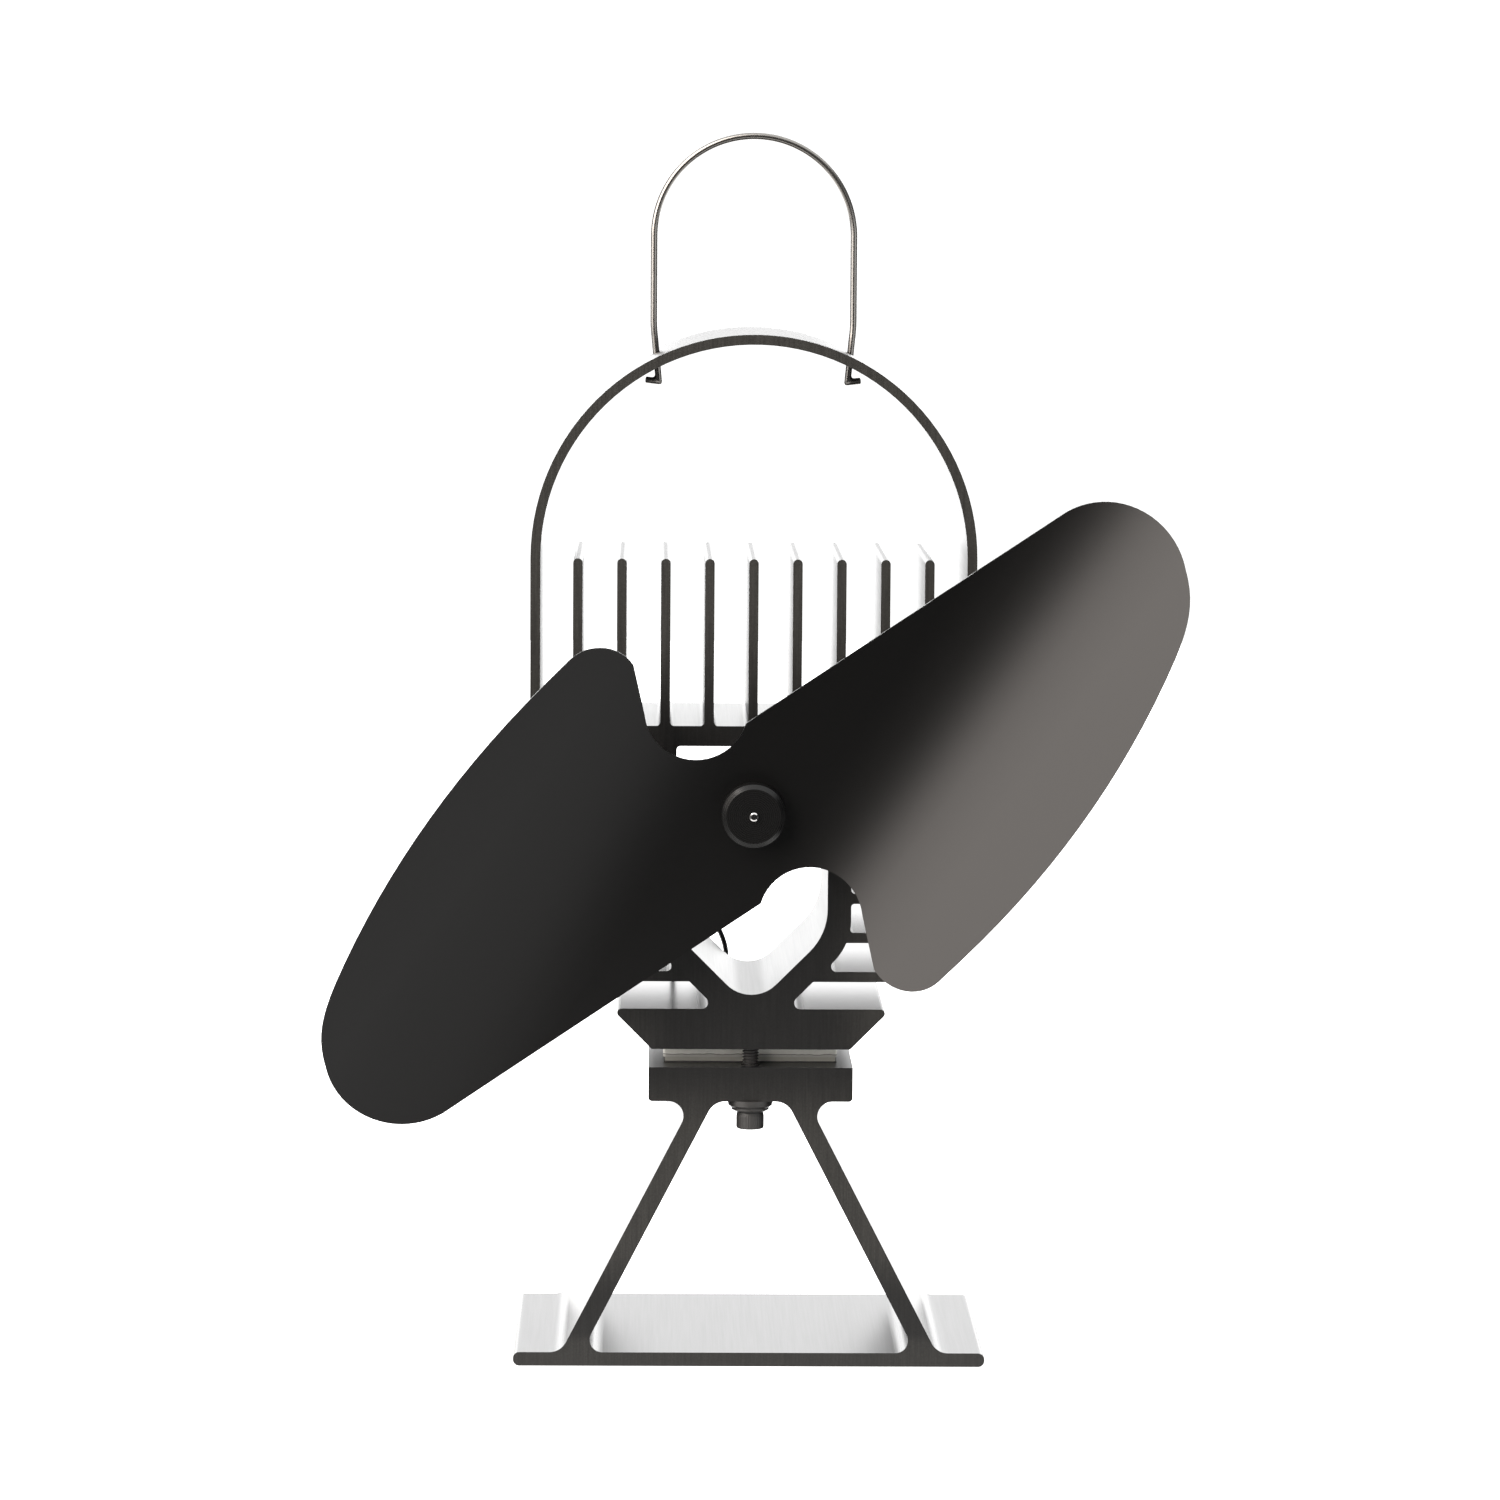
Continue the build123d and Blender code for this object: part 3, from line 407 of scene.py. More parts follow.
class StoveFanScrews(bpy.types.PropertyGroup):
    """Sizes of the clamp screws."""
    shank_diameter: bpy.props.FloatProperty(
        name="Shank diameter",
        description="Diameter over the clamp screw's thread",
        default=3.9 * MM, min=0.001, unit="LENGTH", precision=5,
    )
    thread_pitch: bpy.props.FloatProperty(
        name="Thread pitch",
        description="Rise of the clamp screw's thread in one turn",
        default=0.7 * MM, min=0.0002, unit="LENGTH", precision=5,
    )
    thread_depth: bpy.props.FloatProperty(
        name="Thread depth",
        description="Depth of the clamp screw's thread",
        default=0.38 * MM, min=0.0001, unit="LENGTH", precision=5,
    )
    thread_steps: bpy.props.IntProperty(
        name="Thread steps",
        description="Steps in one turn of the thread",
        default=24, min=8, max=96,
    )
    head_diameter: bpy.props.FloatProperty(
        name="Head diameter",
        description="Diameter of the clamp screw's head",
        default=6.5 * MM, min=0.002, unit="LENGTH", precision=5,
    )
    head_height: bpy.props.FloatProperty(
        name="Head height",
        description="Height of the clamp screw's socket head",
        default=4.0 * MM, min=0.001, unit="LENGTH", precision=5,
    )
    head_edge: bpy.props.FloatProperty(
        name="Head edge",
        description="Radius of the rounded rim of the head",
        default=0.45 * MM, min=0.0001, unit="LENGTH", precision=5,
    )
    head_knurls: bpy.props.IntProperty(
        name="Head knurls",
        description="Ridges round the clamp screw's head",
        default=36, min=9, max=90,
    )
    knurl_depth: bpy.props.FloatProperty(
        name="Knurl depth",
        description="Depth of the grooves round the head",
        default=0.05 * MM, min=0.0, unit="LENGTH", precision=5,
    )
    socket_width: bpy.props.FloatProperty(
        name="Socket width",
        description="Width across the flats of the hexagon socket",
        default=3.0 * MM, min=0.001, unit="LENGTH", precision=5,
    )
    socket_depth: bpy.props.FloatProperty(
        name="Socket depth",
        description="Depth of the hexagon socket",
        default=2.0 * MM, min=0.0005, unit="LENGTH", precision=5,
    )


class StoveFanHandle(bpy.types.PropertyGroup):
    """Sizes of the handle's bent wire."""
    wire_diameter: bpy.props.FloatProperty(
        name="Wire diameter",
        description="Diameter of the handle's wire",
        default=1.6 * MM, min=0.0005, unit="LENGTH", precision=5,
    )
    wire_sides: bpy.props.IntProperty(
        name="Wire sides",
        description="Steps round the wire",
        default=24, min=8, max=64,
    )
    half_width: bpy.props.FloatProperty(
        name="Half width",
        description="Distance from the handle's middle to the line of each leg",
        default=23.5 * MM, min=0.005, unit="LENGTH", precision=5,
    )
    knee_height: bpy.props.FloatProperty(
        name="Knee height",
        description="Height above its foot at which each leg starts to lean inwards",
        default=13.74 * MM, min=0.002, unit="LENGTH", precision=5,
    )
    knee_radius: bpy.props.FloatProperty(
        name="Knee radius",
        description="Radius of the slight bend in each leg",
        default=30.0 * MM, min=0.002, unit="LENGTH", precision=5,
    )
    leg_lean: bpy.props.FloatProperty(
        name="Leg lean",
        description="How far each leg leans inwards below its knee",
        default=math.radians(5.54), subtype="ANGLE", unit="ROTATION",
    )
    hook_height: bpy.props.FloatProperty(
        name="Hook height",
        description="Height of the corner of each hook above its lowest point",
        default=0.8 * MM, min=0.0, unit="LENGTH", precision=5,
    )
    hook_rise: bpy.props.FloatProperty(
        name="Hook rise",
        description="How far each hook points up from the level",
        default=math.radians(4.0), subtype="ANGLE", unit="ROTATION",
    )
    hook_turn: bpy.props.FloatProperty(
        name="Hook turn",
        description="How far each hook points to the back from straight outwards",
        default=math.radians(20.0), subtype="ANGLE", unit="ROTATION",
    )
    hook_edge: bpy.props.FloatProperty(
        name="Hook edge",
        description="Width of the rounding on the tight bend of each hook",
        default=0.7 * MM, min=0.00005, unit="LENGTH", precision=5,
    )


class StoveFanStage(bpy.types.PropertyGroup):
    """The camera, the floor and the lights."""
    camera_distance: bpy.props.FloatProperty(
        name="Camera distance",
        description="Distance from the object's front plane to the camera",
        default=1.3637, min=0.3, unit="LENGTH",
    )
    camera_side: bpy.props.FloatProperty(
        name="Camera side",
        description="How far the camera stands to the left of the object's middle",
        default=0.0242, unit="LENGTH",
    )
    camera_height: bpy.props.FloatProperty(
        name="Camera height",
        description="Height of the camera above the floor",
        default=0.2866, unit="LENGTH",
    )
    camera_tilt: bpy.props.FloatProperty(
        name="Camera tilt",
        description="How far the camera looks down",
        default=math.radians(5.902), subtype="ANGLE", unit="ROTATION",
    )
    camera_turn: bpy.props.FloatProperty(
        name="Camera turn",
        description="How far the camera looks to the right",
        default=math.radians(0.989), subtype="ANGLE", unit="ROTATION",
    )
    camera_roll: bpy.props.FloatProperty(
        name="Camera roll",
        description="How far the camera leans to its left about its own line of sight",
        default=math.radians(0.381), subtype="ANGLE", unit="ROTATION",
    )
    focal_length: bpy.props.FloatProperty(
        name="Focal length",
        description="Lens of the camera on a 36 mm sensor, in millimetres",
        default=141.57, min=20.0,
    )
    aim: bpy.props.FloatVectorProperty(
        name="Aim",
        description="Place that the key light points at",
        default=(0.0, 0.0, 0.13), size=3, subtype="TRANSLATION", unit="LENGTH",
    )
    key_place: bpy.props.FloatVectorProperty(
        name="Key place",
        description="Place of the large soft light at the upper left",
        default=(-1.25, -1.10, 1.20), size=3, subtype="TRANSLATION", unit="LENGTH",
    )
    key_size: bpy.props.FloatProperty(
        name="Key size",
        description="Side of the large soft light",
        default=2.1, min=0.1, unit="LENGTH",
    )
    key_colour: bpy.props.FloatVectorProperty(
        name="Key colour",
        description="Colour of the large soft light",
        default=(1.0, 0.92, 0.86), min=0.0, max=1.0, size=3, subtype="COLOR",
    )
    key_power: bpy.props.FloatProperty(
        name="Key power",
        description="Power of the large soft light at the upper left",
        default=100.0, min=0.0, unit="POWER",
    )
    floor_size: bpy.props.FloatProperty(
        name="Floor size",
        description="Side of the square pale floor",
        default=2.4, min=1.0, unit="LENGTH",
    )
    floor_ahead: bpy.props.FloatProperty(
        name="Floor ahead",
        description="How far the floor reaches ahead of the object's middle",
        default=0.42, min=0.2, unit="LENGTH",
    )
    floor_front_level: bpy.props.FloatProperty(
        name="Floor front level",
        description="Glow of the floor ahead of the object",
        default=0.46, min=0.0,
    )
    floor_back_level: bpy.props.FloatProperty(
        name="Floor back level",
        description="Glow of the floor behind the object",
        default=2.0, min=0.0,
    )
    front_level: bpy.props.FloatProperty(
        name="Front level",
        description="Brightness of the surroundings ahead of the object and above it",
        default=0.02, min=0.0,
    )
    left_level: bpy.props.FloatProperty(
        name="Left level",
        description="Brightness of the dim wall to the left",
        default=0.18, min=0.0,
    )
    right_level: bpy.props.FloatProperty(
        name="Right level",
        description="Brightness of the dim wall to the right",
        default=0.2, min=0.0,
    )
    back_level: bpy.props.FloatProperty(
        name="Back level",
        description="Brightness of the white backdrop behind the object",
        default=3.2, min=0.0,
    )
    top_level: bpy.props.FloatProperty(
        name="Top level",
        description="Brightness of the soft light overhead",
        default=1.6, min=0.0,
    )
    white_level: bpy.props.FloatProperty(
        name="White level",
        description="Brightness of the plain white that the camera sees behind the object",
        default=1.2, min=0.0,
    )
    strip_level: bpy.props.FloatProperty(
        name="Strip level",
        description="Brightness of the two low strip lights ahead of the object, at its left and right",
        default=1.7, min=0.0,
    )


class STOVEFAN_OT_extrusions(bpy.types.Operator):
    """Gives the stand and the heat sink their black anodised finish"""
    bl_idname = "stove_fan.extrusions"
    bl_label = "Stand and heat sink"

    def execute(self, context):
        finish = context.scene.stove_fan_finish
        dress(anodised_extrusion("anodised_extrusion", finish), "base_stand", "heat_sink")
        return {"FINISHED"}


class STOVEFAN_OT_rotor(bpy.types.Operator):
    """Gives the blade, hub, collar, shaft and armature their finishes"""
    bl_idname = "stove_fan.rotor"
    bl_label = "Blade and rotor"

    def execute(self, context):
        dress(blade_finish("blade_black", context.scene.stove_fan_finish), "fan_blade")
        dress(turned_black("hub_black"), "blade_hub", "hub_collar")
        shaft = speckled(
            "shaft_steel", metallic=1.0, roughness=0.12, scale=900.0,
            dark=(0.62, 0.61, 0.6), light=(0.7, 0.69, 0.68),
        )
        dress(shaft, "motor_shaft")
        core = speckled(
            "core_steel", metallic=1.0, roughness=0.4, scale=1200.0,
            dark=(0.42, 0.41, 0.4), light=(0.5, 0.49, 0.48),
        )
        dress(core, "rotor_core")
        copper = speckled(
            "winding_copper", metallic=1.0, roughness=0.35, scale=1500.0,
            dark=(0.55, 0.2, 0.08), light=(0.66, 0.28, 0.12),
        )
        dress(copper, "rotor_windings", "commutator")
        return {"FINISHED"}


class STOVEFAN_OT_motor(bpy.types.Operator):
    """Gives the motor's still pieces, its bracket and its screws their finishes"""
    bl_idname = "stove_fan.motor"
    bl_label = "Motor"

    def execute(self, context):
        can = speckled(
            "motor_steel", metallic=1.0, roughness=0.3, scale=500.0,
            dark=(0.5, 0.49, 0.47), light=(0.58, 0.57, 0.55),
        )
        dress(can, "motor_can")
        cap = speckled(
            "motor_plastic", metallic=0.0, roughness=0.45, scale=900.0,
            dark=(0.02, 0.02, 0.021), light=(0.03, 0.03, 0.031),
        )
        dress(cap, "motor_end_cap")
        bronze = speckled(
            "bearing_bronze", metallic=1.0, roughness=0.45, scale=3000.0,
            dark=(0.4, 0.26, 0.12), light=(0.5, 0.34, 0.17),
        )
        dress(bronze, "front_bearing", "rear_bearing")
        ferrite = speckled(
            "magnet_ferrite", metallic=0.0, roughness=0.7, scale=900.0,
            dark=(0.04, 0.04, 0.042), light=(0.07, 0.07, 0.07),
        )
        dress(ferrite, "motor_magnets")
        carbon = speckled(
            "brush_carbon", metallic=0.0, roughness=0.6, scale=900.0,
            dark=(0.02, 0.02, 0.02), light=(0.04, 0.04, 0.04),
        )
        dress(carbon, "motor_brushes")
        zinc = speckled(
            "zinc_steel", metallic=1.0, roughness=0.3, scale=1200.0,
            dark=(0.5, 0.5, 0.5), light=(0.6, 0.6, 0.62),
        )
        dress(zinc, "motor_terminals", "motor_screws", "bracket_screws")
        black = speckled(
            "black_steel", metallic=0.0, roughness=0.45, scale=1500.0,
            dark=(0.014, 0.014, 0.014), light=(0.024, 0.023, 0.022),
        )
        dress(black, "motor_bracket")
        return {"FINISHED"}


class STOVEFAN_OT_module(bpy.types.Operator):
    """Gives the module's layers and pads their finishes"""
    bl_idname = "stove_fan.module"
    bl_label = "Module and pads"

    def execute(self, context):
        ceramic = speckled(
            "module_ceramic", metallic=0.0, roughness=0.6, scale=900.0,
            dark=(0.30, 0.30, 0.27), light=(0.38, 0.38, 0.34),
        )
        dress(ceramic, "module_hot_plate", "module_cold_plate")
        core = speckled(
            "module_core", metallic=1.0, roughness=0.5, scale=900.0,
            dark=(0.3, 0.3, 0.32), light=(0.4, 0.4, 0.42),
        )
        dress(core, "module_pellets")
        dress(sealant_bead("edge_sealant"), "module_edge_seal")
        graphite = speckled(
            "graphite", metallic=0.0, roughness=0.5, scale=2000.0, relief=0.4,
            dark=(0.03, 0.03, 0.03), light=(0.06, 0.06, 0.06),
        )
        dress(graphite, "graphite_pad_lower", "graphite_pad_upper")
        return {"FINISHED"}


def finished_object(bm, name, material, body):
    """Closes the mesh, points its faces outwards and makes it a piece on a body."""
    bmesh.ops.remove_doubles(bm, verts=bm.verts[:], dist=MERGE_DISTANCE)
    bmesh.ops.recalc_face_normals(bm, faces=bm.faces[:])
    mesh = bpy.data.meshes.new(name)
    bm.to_mesh(mesh)
    bm.free()
    item = bpy.data.objects.new(name, mesh)
    bpy.context.scene.collection.objects.link(item)
    mesh.materials.append(material)
    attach(item, body)
    return item


def merge_into(bm, part):
    """Adds a finished part to a mesh and frees the part."""
    carrier = bpy.data.meshes.new("part")
    part.to_mesh(carrier)
    part.free()
    bm.from_mesh(carrier)
    bpy.data.meshes.remove(carrier)


def profile_chain(bm, points, centre):
    """Vertices and edges along a profile of (radius, height) points beside an upright axis."""
    vertices = [bm.verts.new(centre + Vector((radius, 0.0, height))) for radius, height in points]
    edges = [bm.edges.new(pair) for pair in zip(vertices, vertices[1:])]
    return vertices + edges


def add_thread(bm, screws, centre, length):
    """A threaded shank upwards from centre: one pitch of thread, swept as a right-handed helix."""
    root_end_share, crest_start_share, crest_end_share = 0.15, 0.5, 0.65
    crest = screws.shank_diameter / 2
    root = crest - screws.thread_depth
    pitch = screws.thread_pitch
    profile = (
        (root, 0.0), (root, pitch * root_end_share), (crest, pitch * crest_start_share),
        (crest, pitch * crest_end_share), (root, pitch),
    )
    turns = int(length / pitch) - 1
    steps = screws.thread_steps
    start = profile_chain(bm, profile, centre)
    bmesh.ops.spin(
        bm, geom=start, cent=centre, axis=(0.0, 0.0, 1.0), dvec=(0.0, 0.0, pitch / steps),
        angle=math.tau * turns, steps=steps * turns,
    )
    bmesh.ops.remove_doubles(bm, verts=bm.verts[:], dist=MERGE_DISTANCE)
    rims = [edge for edge in bm.edges if edge.is_boundary]
    bmesh.ops.holes_fill(bm, edges=rims, sides=0)


def cut_knurls(bm, screws, seat, steps):
    """Draws every second line of vertices on the head's side inwards."""
    nearness_share = 0.01
    radius = screws.head_diameter / 2
    nearness = screws.head_edge * nearness_share
    for vertex in bm.verts:
        out = Vector((vertex.co.x - seat.x, vertex.co.y - seat.y))
        step = round(math.atan2(out.y, out.x) / math.tau * steps)
        if step % 2 and abs(out.length - radius) < nearness:
            out *= 1.0 - screws.knurl_depth / radius
            vertex.co.x, vertex.co.y = seat.x + out.x, seat.y + out.y


def hexagon_edges(bm, screws, seat, steps):
    """A closed hexagon of edges, of the socket's width, on the end of the head."""
    corners = []
    for index in range(steps):
        angle = math.tau * index / steps
        reach = screws.socket_width / 2 / math.cos(angle % (math.tau / 6) - math.tau / 12)
        place = Vector((reach * math.cos(angle), reach * math.sin(angle), -screws.head_height))
        corners.append(bm.verts.new(seat + place))
    return [bm.edges.new((corners[index - 1], corners[index])) for index in range(steps)]


def add_socket_head(bm, screws, seat):
    """A cylindrical head below its seat, with a knurled side, a rounded rim and a hexagon socket."""
    radius = screws.head_diameter / 2
    height = screws.head_height
    edge = screws.head_edge
    steps = 2 * screws.head_knurls
    mouth_share, collar_share, blunt_share = 0.62, 0.25, 0.3
    mouth = screws.socket_width * mouth_share
    collar = height * collar_share
    blunt = edge * blunt_share
    arc = [math.radians(angle) for angle in (0.0, 30.0, 60.0, 90.0)]
    rim = [
        (radius - edge + edge * math.sin(angle), edge - height - edge * math.cos(angle)) for angle in arc
    ]
    side = [(radius, -collar), (radius - blunt, -blunt), (radius - edge, 0.0), (0.0, 0.0)]
    chain = profile_chain(bm, [(mouth, -height)] + rim + side, seat)
    bmesh.ops.spin(
        bm, geom=chain, cent=seat, axis=(0.0, 0.0, 1.0), angle=math.tau, steps=steps, use_merge=True,
    )
    bmesh.ops.remove_doubles(bm, verts=bm.verts[:], dist=MERGE_DISTANCE)
    cut_knurls(bm, screws, seat, steps)
    hexagon = hexagon_edges(bm, screws, seat, steps)
    mouth_edges = [item for item in bm.edges if item.is_boundary]
    bmesh.ops.bridge_loops(bm, edges=hexagon + mouth_edges)
    walls = bmesh.ops.extrude_edge_only(bm, edges=hexagon)["geom"]
    floor = [item for item in walls if isinstance(item, bmesh.types.BMVert)]
    bmesh.ops.translate(bm, verts=floor, vec=(0.0, 0.0, screws.socket_depth))
    floor_edges = [item for item in bm.edges if item.is_boundary]
    bmesh.ops.contextual_create(bm, geom=floor_edges)


class STOVEFAN_OT_clamp_screws(bpy.types.Operator):
    """Models the two threaded socket screws and finishes their washers"""
    bl_idname = "stove_fan.clamp_screws"
    bl_label = "Clamp screws"

    def execute(self, context):
        sunk_share = 0.3
        screws = context.scene.stove_fan_screws
        black = speckled(
            "black_oxide", metallic=0.0, roughness=0.42, scale=1800.0,
            dark=(0.016, 0.0155, 0.015), light=(0.03, 0.029, 0.028),
        )
        dress(black, "flat_washers", "spring_washers")
        low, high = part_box("clamp_screws")
        radius = screws.head_diameter / 2
        seat_height = low.z + screws.head_height
        thread_start = seat_height - screws.head_height * sunk_share
        bm = bmesh.new()
        for y in (low.y + radius, high.y - radius):
            part = bmesh.new()
            add_socket_head(part, screws, Vector((0.0, y, seat_height)))
            merge_into(bm, part)
            part = bmesh.new()
            add_thread(part, screws, Vector((0.0, y, thread_start)), high.z - thread_start)
            merge_into(bm, part)
        piece = finished_object(bm, "threaded_clamp_screws", black, "stand")
        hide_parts("clamp_screws")
        return {"FINISHED"}


def edges_in(geometry):
    """The edges among mesh items."""
    return [item for item in geometry if isinstance(item, bmesh.types.BMEdge)]


def vertices_of(edges):
    """The vertices of some edges, each once."""
    return list({vertex for edge in edges for vertex in edge.verts})


def run_on(bm, ring, move):
    """Draws a ring of edges straight on by a move, and gives the new ring."""
    made = bmesh.ops.extrude_edge_only(bm, edges=ring)["geom"]
    far = [item for item in made if isinstance(item, bmesh.types.BMVert)]
    bmesh.ops.translate(bm, verts=far, vec=move)
    return [edge for edge in edges_in(made) if all(vertex in far for vertex in edge.verts)]


def bend_on(bm, ring, centre, angle, steps):
    """Draws a ring of edges on round a level axis from front to back, and gives the new ring."""
    geometry = vertices_of(ring) + ring
    made = bmesh.ops.spin(bm, geom=geometry, cent=centre, axis=(0.0, 1.0, 0.0), angle=angle, steps=steps)
    return edges_in(made["geom_last"])


def add_half_handle(bm, handle, low, high):
    """Half of the handle's wire, from the top of its crown down to the square end of its hook."""
    crown_steps, knee_steps, hook_steps = 48, 4, 3
    radius = handle.wire_diameter / 2
    y = (low.y + high.y) / 2
    shoulder = Vector((0.0, y, high.z - radius - handle.half_width))
    top = Matrix.Translation((0.0, y, high.z - radius)) @ Matrix.Rotation(math.pi / 2, 4, "Y")
    start = bmesh.ops.create_circle(bm, segments=handle.wire_sides, radius=radius, matrix=top)
    ring = list({edge for vertex in start["verts"] for edge in vertex.link_edges})
    ring = bend_on(bm, ring, shoulder, math.pi / 2, crown_steps)

    knee = Vector((handle.half_width, y, low.z + handle.knee_height))
    reach = handle.knee_radius * math.tan(handle.leg_lean / 2)
    ring = run_on(bm, ring, (0.0, 0.0, knee.z + reach - shoulder.z))
    knee_centre = knee + Vector((-handle.knee_radius, 0.0, reach))
    ring = bend_on(bm, ring, knee_centre, handle.leg_lean, knee_steps)

    down = Vector((-math.sin(handle.leg_lean), 0.0, -math.cos(handle.leg_lean)))
    level = math.cos(handle.hook_rise)
    out = Vector((
        level * math.cos(handle.hook_turn), level * math.sin(handle.hook_turn), math.sin(handle.hook_rise),
    ))
    drop = handle.knee_height - handle.hook_height
    corner = knee + down * drop / math.cos(handle.leg_lean)
    run_on(bm, ring, down * (drop + handle.wire_diameter))
    cut = bmesh.ops.bisect_plane(
        bm, geom=bm.verts[:] + bm.edges[:] + bm.faces[:], plane_co=corner,
        plane_no=(down + out).normalized(), clear_outer=True,
    )
    mitre = edges_in(cut["geom_cut"])
    end = high.x - radius * math.sqrt(1.0 - out.x ** 2)
    length = (end - corner.x) / out.x
    tip = run_on(bm, mitre, out * length)
    for vertex in vertices_of(tip):
        vertex.co += out * (length - (vertex.co - corner).dot(out))
    bmesh.ops.contextual_create(bm, geom=tip)
    for edge in tip:
        edge.smooth = False
    bmesh.ops.bevel(
        bm, geom=mitre, affect="EDGES", offset=handle.hook_edge, segments=hook_steps, profile=0.5,
        material=-1,
    )


class STOVEFAN_OT_handle(bpy.types.Operator):
    """Models the handle's bent wire with its tight hooks"""
    bl_idname = "stove_fan.handle"
    bl_label = "Handle"

    def execute(self, context):
        handle = context.scene.stove_fan_handle
        low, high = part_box("carry_handle")
        bm = bmesh.new()
        add_half_handle(bm, handle, low, high)
        for face in bm.faces:
            face.smooth = len(face.verts) == 4
        everything = bm.verts[:] + bm.edges[:] + bm.faces[:]
        bmesh.ops.mirror(bm, geom=everything, merge_dist=10 * MERGE_DISTANCE, axis="X")
        piece = finished_object(bm, "bent_wire_handle", drawn_wire("handle_wire"), "handle")
        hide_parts("carry_handle")
        return {"FINISHED"}


# Routes of the two leads, from the module's back edge to the motor's terminals, in metres
LEAD_DIAMETER = 1.2 * MM
FIRST_LEAD_ROUTE = (
    (-0.0180, 0.0135, 0.073125),
    (-0.0180, 0.0260, 0.073125),
    (-0.0182, 0.0266, 0.0940),
    (-0.0146, 0.0262, 0.1130),
    (-0.0092, 0.0120, 0.1265),
    (-0.00515, -0.0015, 0.1323),
    (-0.00515, -0.0116, 0.1323),
)
SECOND_LEAD_ROUTE = (
    (-0.0156, 0.0135, 0.073125),
    (-0.0156, 0.0254, 0.073125),
    (-0.0092, 0.0274, 0.0794),
    (-0.0036, 0.0276, 0.0882),
    (-0.0096, 0.0270, 0.1010),
    (-0.0084, 0.0254, 0.1165),
    (0.0006, 0.0110, 0.1275),
    (0.00515, -0.0015, 0.1323),
    (0.00515, -0.0116, 0.1323),
)


def add_lead(name, node, route, material):
    """A lead as one smooth spline along its route, in place of its CAD tube."""
    data = bpy.data.curves.new(name, "CURVE")
    data.dimensions = "3D"
    spline = data.splines.new("NURBS")
    spline.points.add(len(route) - 1)
    for point, place in zip(spline.points, route):
        point.co = (*place, 1.0)
    spline.order_u = 3
    spline.use_endpoint_u = True
    spline.resolution_u = 16
    data.bevel_depth = LEAD_DIAMETER / 2
    data.bevel_resolution = 5
    data.use_fill_caps = True
    data.materials.append(material)
    piece = bpy.data.objects.new(name, data)
    bpy.context.scene.collection.objects.link(piece)
    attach(piece, "stand")
    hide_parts(node)


class STOVEFAN_OT_leads(bpy.types.Operator):
    """Makes the two leads as smooth cords and finishes their sleeves"""
    bl_idname = "stove_fan.leads"
    bl_label = "Leads"

    def execute(self, context):
        silicone = speckled(
            "lead_insulation", metallic=0.0, roughness=0.5, scale=800.0,
            dark=(0.02, 0.02, 0.02), light=(0.03, 0.03, 0.03),
        )
        dress(silicone, "lead_sleeves")
        add_lead("smooth_first_lead", "first_lead", FIRST_LEAD_ROUTE, silicone)
        add_lead("smooth_second_lead", "second_lead", SECOND_LEAD_ROUTE, silicone)
        return {"FINISHED"}


def add_key_light(stage):
    """The large soft light at the upper left."""
    data = bpy.data.lights.new("key", "AREA")
    data.shape = "SQUARE"
    data.size = stage.key_size
    data.energy = stage.key_power
    data.color = stage.key_colour
    lamp = bpy.data.objects.new("key", data)
    lamp.location = stage.key_place
    beam = Vector(stage.aim) - Vector(stage.key_place)
    lamp.rotation_euler = beam.to_track_quat("-Z", "Y").to_euler()
    bpy.context.scene.collection.objects.link(lamp)


def surroundings(tree, stage):
    """Brightness by direction: backdrop and walls near the level, light overhead, and two low strips."""
    left_wall, right_wall, backdrop = (-0.15, -0.45), (0.15, 0.45), (0.80, 0.93)
    overhead, wall_tops, strip_tops = (0.5, 0.68), (0.65, 0.35), (0.17, 0.05)
    left_strip_side, left_strip_front = (-0.45, -0.6), (0.3, 0.0)
    right_strip_side, right_strip_front = (0.38, 0.5), (-0.3, -0.45)
    direction = split_vector(tree, "Generated")
    across, along, up = direction["X"], direction["Y"], direction["Z"]
    height = absolute(tree, up)

    left = combine(tree, "MULTIPLY", step_value(tree, across, *left_wall), stage.left_level)
    right = combine(tree, "MULTIPLY", step_value(tree, across, *right_wall), stage.right_level)
    back = combine(tree, "MULTIPLY", step_value(tree, along, *backdrop), stage.back_level)
    walls = combine(tree, "ADD", left, right, back)
    walls = combine(tree, "MULTIPLY", walls, step_value(tree, height, *wall_tops))

    left_side = step_value(tree, across, *left_strip_side)
    left_strip = combine(tree, "MULTIPLY", left_side, step_value(tree, along, *left_strip_front))
    right_side = step_value(tree, across, *right_strip_side)
    right_strip = combine(tree, "MULTIPLY", right_side, step_value(tree, along, *right_strip_front))
    strips = combine(tree, "ADD", left_strip, right_strip)
    strips = combine(tree, "MULTIPLY", strips, step_value(tree, height, *strip_tops), stage.strip_level)

    top = combine(tree, "MULTIPLY", step_value(tree, up, *overhead), stage.top_level)
    return combine(tree, "ADD", walls, top, strips, stage.front_level)


def studio_world(stage):
    """The world: surroundings that light the object, with plain white in front of the camera."""
    world = bpy.data.worlds.new("studio")
    world.use_nodes = True
    tree = world.node_tree
    lighting = tree.nodes["Background"]
    tree.links.new(surroundings(tree, stage), lighting.inputs["Strength"])
    seen = add_node(tree, "ShaderNodeBackground")
    seen.inputs["Strength"].default_value = stage.white_level
    for shader in (lighting, seen):
        shader.inputs["Color"].default_value = (1.0, 1.0, 1.0, 1.0)
    path = add_node(tree, "ShaderNodeLightPath")
    mix = add_node(tree, "ShaderNodeMixShader")
    tree.links.new(path.outputs["Is Camera Ray"], mix.inputs[0])
    tree.links.new(lighting.outputs["Background"], mix.inputs[1])
    tree.links.new(seen.outputs["Background"], mix.inputs[2])
    tree.links.new(mix.outputs["Shader"], tree.nodes["World Output"].inputs["Surface"])
    return world


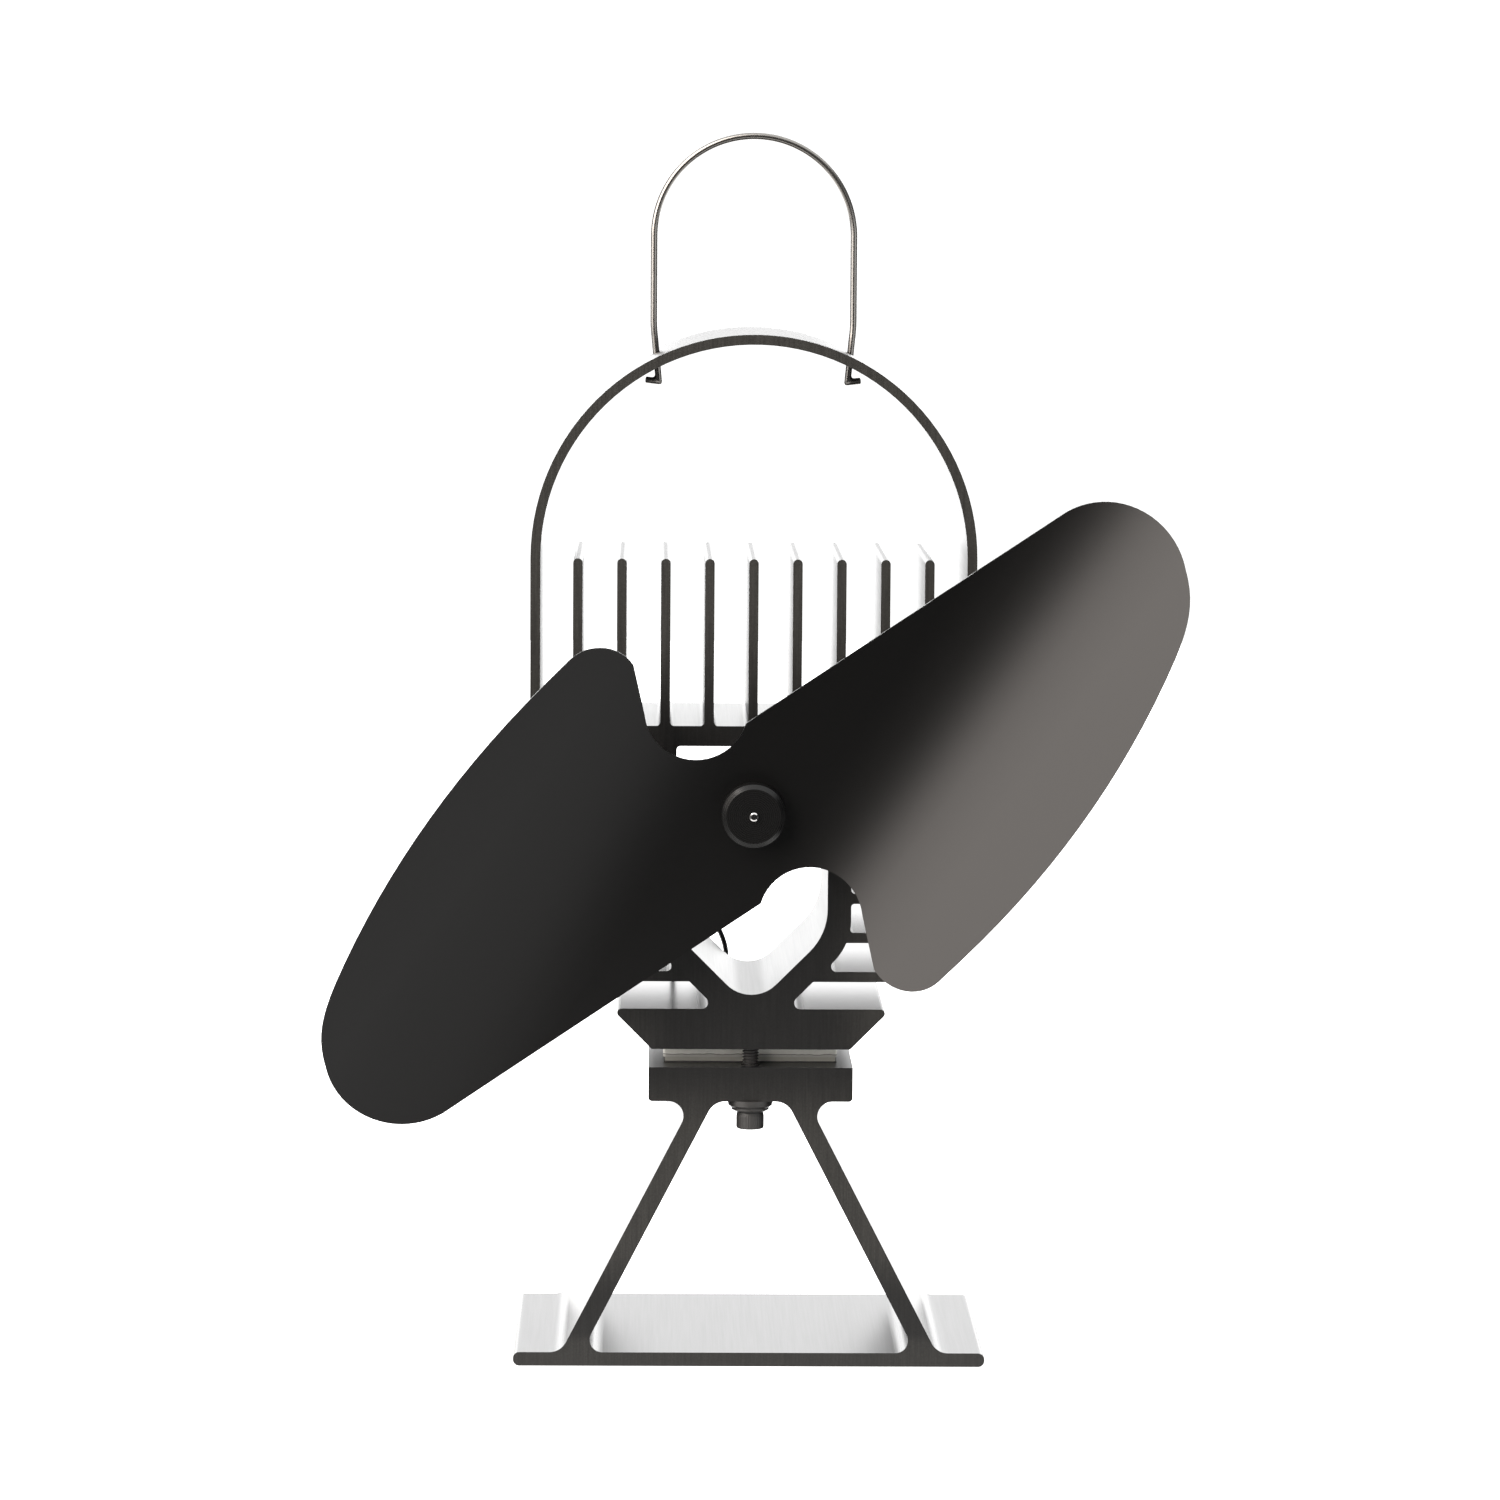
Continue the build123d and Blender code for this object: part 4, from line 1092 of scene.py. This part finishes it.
def pale_floor(stage):
    """The floor's material: pale, and lit up towards the backdrop."""
    glow_start, glow_full = -0.17, 0.14
    material, tree, shader = new_material("pale_floor", 0.0, 0.9, (0.3, 0.3, 0.3))
    glow = step_value(tree, split_vector(tree, "Object")["Y"], glow_start, glow_full)
    level = blend_values(tree, glow, stage.floor_front_level, stage.floor_back_level)
    tree.links.new(level, shader.inputs["Emission Strength"])
    shader.inputs["Emission Color"].default_value = (1.0, 1.0, 1.0, 1.0)
    return material


def add_floor(stage):
    """The square pale floor under the object."""
    bm = bmesh.new()
    bmesh.ops.create_grid(bm, x_segments=1, y_segments=1, size=stage.floor_size / 2)
    middle = Vector((0.0, stage.floor_size / 2 - stage.floor_ahead, 0.0))
    bmesh.ops.translate(bm, verts=bm.verts[:], vec=middle)
    mesh = bpy.data.meshes.new("floor")
    bm.to_mesh(mesh)
    bm.free()
    mesh.materials.append(pale_floor(stage))
    floor = bpy.data.objects.new("floor", mesh)
    bpy.context.scene.collection.objects.link(floor)


def add_camera(stage):
    """The camera, at the photograph's view of the object."""
    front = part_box("base_stand")[0].y
    data = bpy.data.cameras.new("camera")
    data.lens = stage.focal_length
    data.sensor_width = SENSOR_WIDTH
    camera = bpy.data.objects.new("camera", data)
    camera.location = (-stage.camera_side, front - stage.camera_distance, stage.camera_height)
    turn = Matrix.Rotation(-stage.camera_turn, 3, "Z")
    tilt = Matrix.Rotation(math.pi / 2 - stage.camera_tilt, 3, "X")
    roll = Matrix.Rotation(stage.camera_roll, 3, "Z")
    camera.rotation_euler = (turn @ tilt @ roll).to_euler()
    bpy.context.scene.collection.objects.link(camera)
    bpy.context.scene.camera = camera


class STOVEFAN_OT_stage(bpy.types.Operator):
    """Makes the camera, the pale floor, the soft light and the surroundings"""
    bl_idname = "stove_fan.stage"
    bl_label = "Stage"

    def execute(self, context):
        stage = context.scene.stove_fan_stage
        add_camera(stage)
        add_floor(stage)
        add_key_light(stage)
        context.scene.world = studio_world(stage)
        context.scene.view_settings.view_transform = "Standard"
        return {"FINISHED"}


GROUPS = {
    "stove_fan_finish": StoveFanFinish,
    "stove_fan_screws": StoveFanScrews,
    "stove_fan_handle": StoveFanHandle,
    "stove_fan_stage": StoveFanStage,
}
PIECES = (
    STOVEFAN_OT_extrusions,
    STOVEFAN_OT_rotor,
    STOVEFAN_OT_motor,
    STOVEFAN_OT_module,
    STOVEFAN_OT_clamp_screws,
    STOVEFAN_OT_handle,
    STOVEFAN_OT_leads,
    STOVEFAN_OT_stage,
)


class STOVEFAN_PT_panel(bpy.types.Panel):
    """Lists the fan's pieces and settings"""
    bl_idname = "STOVEFAN_PT_panel"
    bl_label = "Stove Fan"
    bl_space_type = "VIEW_3D"
    bl_region_type = "UI"
    bl_category = "Stove Fan"

    def draw(self, context):
        for name in GROUPS:
            group = getattr(context.scene, name)
            box = self.layout.box()
            for setting in group.__annotations__:
                box.prop(group, setting)
        for piece in PIECES:
            self.layout.operator(piece.bl_idname)


CLASSES = (*GROUPS.values(), *PIECES, STOVEFAN_PT_panel)


def register():
    """Registers the classes and gives the scene its settings."""
    for item in CLASSES:
        bpy.utils.register_class(item)
    for name, group in GROUPS.items():
        setattr(bpy.types.Scene, name, bpy.props.PointerProperty(type=group))


def unregister():
    """Takes the scene's settings and the classes away again."""
    for name in GROUPS:
        delattr(bpy.types.Scene, name)
    for item in reversed(CLASSES):
        bpy.utils.unregister_class(item)


def main():
    """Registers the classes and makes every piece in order."""
    register()
    for piece in PIECES:
        group, name = piece.bl_idname.split(".")
        getattr(getattr(bpy.ops, group), name)()


if __name__ == "__main__":
    main()
